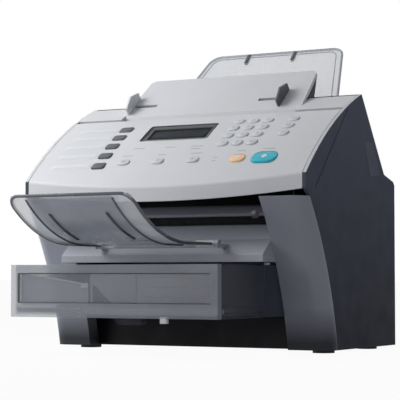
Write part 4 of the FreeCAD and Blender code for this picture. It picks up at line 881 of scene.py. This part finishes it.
def on_support(x, v, n):
    """A point across, up and out of the support's sheet."""
    return slope_matrix(SUPPORT_FOOT, SUPPORT_ANGLE, x, v, n).translation


def rounded_path(points, radius):
    """An open path in a plane with its corners rounded by the radius."""
    path = [Vector(points[0])]
    for before, at, after in zip(points, points[1:], points[2:]):
        before, at, after = Vector(before), Vector(at), Vector(after)
        back = (before - at).normalized()
        ahead = (after - at).normalized()
        half = back.angle(ahead) / 2
        cut = radius / math.tan(half)
        centre = at + (back + ahead).normalized() * (radius / math.sin(half))
        start = at + back * cut - centre
        end = at + ahead * cut - centre
        for step in range(CORNER_STEPS + 1):
            ray = start.slerp(end, step / CORNER_STEPS).normalized()
            path.append(centre + ray * radius)
    path.append(Vector(points[-1]))
    return path


def support_bead(name, outline, corner, lift, radius):
    """A bead along both sides and the top of the support."""
    half = rounded_path(outline, corner)
    path = [(-p.x, p.y) for p in half] + [(p.x, p.y) for p in reversed(half[:-1])]
    bead = tube(name, [on_support(x * MM, v * MM, lift) for x, v in path], radius, RIM_SIDES)
    piece(name, bead, "paper_support", "rim_pale")


support_bead("support_rim", SUPPORT_RIM, SUPPORT_RIM_CORNER, 0.0, SUPPORT_RIM_RADIUS)
support_bead("support_line", SUPPORT_LINE, SUPPORT_LINE_CORNER, SUPPORT_LINE_LIFT, SUPPORT_LINE_RADIUS)
for name, x in CLIPS:
    clip = block(f"support_clip_{name}", CLIP_LOW, CLIP_HIGH, CLIP_EDGE)
    place = slope_matrix(SUPPORT_FOOT, SUPPORT_ANGLE, x * MM, CLIP_HEIGHT, 0.0)
    piece(f"support_clip_{name}", moved(clip, place), "paper_support", "guide_dark")


# Stage: pale floor, white surroundings, soft light


SKY = (0.93, 0.96, 1.0, 1.0)
SKY_LIGHT = 0.24
WHITE = (1.0, 1.0, 1.0, 1.0)
FLOOR_GREY = (0.62, 0.62, 0.62, 1.0)
FLOOR_ROUGH = 0.9
FLOOR_WHITE = 0.95
FLOOR_REACH = 30.0
# Name, place, what it points at, size in metres and watts of each lamp
LAMPS = (
    ("key_lamp", (-0.62, -0.3, 0.62), (-0.05, 0.0, 0.2), 0.5, 4.1),
    ("top_lamp", (-0.8, -0.25, 1.15), (0.0, 0.05, 0.2), 0.9, 2.3),
    ("fill_lamp", (1.2, -1.5, 0.75), (0.1, 0.0, 0.15), 1.0, 0.9),
    ("front_lamp", (-0.85, -1.55, 0.25), (0.0, -0.1, 0.1), 0.8, 4.8),
)


def white_for_view(tree, plain, kind, output, share):
    """The camera, reflections and clear pieces see a share of plain white; the light itself is unchanged."""
    path = tree.nodes.new("ShaderNodeLightPath")
    seen = path.outputs["Is Camera Ray"]
    for ray in ("Is Glossy Ray", "Is Transmission Ray"):
        either = tree.nodes.new("ShaderNodeMath")
        either.operation = "MAXIMUM"
        tree.links.new(seen, either.inputs[0])
        tree.links.new(path.outputs[ray], either.inputs[1])
        seen = either.outputs[0]
    part = tree.nodes.new("ShaderNodeMath")
    part.operation = "MULTIPLY"
    tree.links.new(seen, part.inputs[0])
    part.inputs[1].default_value = share
    white = tree.nodes.new(kind)
    white.inputs["Color"].default_value = WHITE
    white.inputs["Strength"].default_value = 1.0
    blend = tree.nodes.new("ShaderNodeMixShader")
    tree.links.new(part.outputs[0], blend.inputs[0])
    tree.links.new(plain.outputs[0], blend.inputs[1])
    tree.links.new(white.outputs[0], blend.inputs[2])
    tree.links.new(blend.outputs[0], tree.nodes[output].inputs["Surface"])


world = bpy.data.worlds.new("surround")
scene.world = world
world.use_nodes = True
background = world.node_tree.nodes["Background"]
background.inputs["Color"].default_value = SKY
background.inputs["Strength"].default_value = SKY_LIGHT
white_for_view(world.node_tree, background, "ShaderNodeBackground", "World Output", 1.0)

floor_mesh = bpy.data.meshes.new("floor")
corners = [(a * FLOOR_REACH, b * FLOOR_REACH, 0) for a, b in ((-1, -1), (1, -1), (1, 1), (-1, 1))]
floor_mesh.from_pydata(corners, [], [(0, 1, 2, 3)])
floor = bpy.data.objects.new("floor", floor_mesh)
scene.collection.objects.link(floor)
paper = bpy.data.materials.new("floor_paper")
paper.use_nodes = True
base = paper.node_tree.nodes["Principled BSDF"]
base.inputs["Base Color"].default_value = FLOOR_GREY
base.inputs["Roughness"].default_value = FLOOR_ROUGH
white_for_view(paper.node_tree, base, "ShaderNodeEmission", "Material Output", FLOOR_WHITE)
floor_mesh.materials.append(paper)


def lamp(name, place, aim, size, watts):
    """A round white lamp that points at a place."""
    data = bpy.data.lights.new(name, "AREA")
    data.shape = "DISK"
    data.size = size
    data.energy = watts
    item = bpy.data.objects.new(name, data)
    scene.collection.objects.link(item)
    item.location = place
    item.rotation_mode = "QUATERNION"
    item.rotation_quaternion = (Vector(aim) - Vector(place)).to_track_quat("-Z", "Y")


for settings in LAMPS:
    lamp(*settings)


# Camera, as the photograph was taken: from the front right, just above the table

CAMERA_PLACE = Vector((0.8723, -1.5283, 0.0822))
CAMERA_AIM = Vector((-0.00351, 0.04193, 0.16956))
SENSOR = 36.0
LENS = 142.5
CLIP_END = 100.0

camera_data = bpy.data.cameras.new("camera")
camera = bpy.data.objects.new("camera", camera_data)
scene.collection.objects.link(camera)
scene.camera = camera
camera_data.sensor_width = SENSOR
camera_data.lens = LENS
camera.location = CAMERA_PLACE
camera.rotation_mode = "QUATERNION"
camera.rotation_quaternion = (CAMERA_AIM - CAMERA_PLACE).to_track_quat("-Z", "Y")
camera_data.clip_end = CLIP_END

scene.view_settings.view_transform = "Standard"
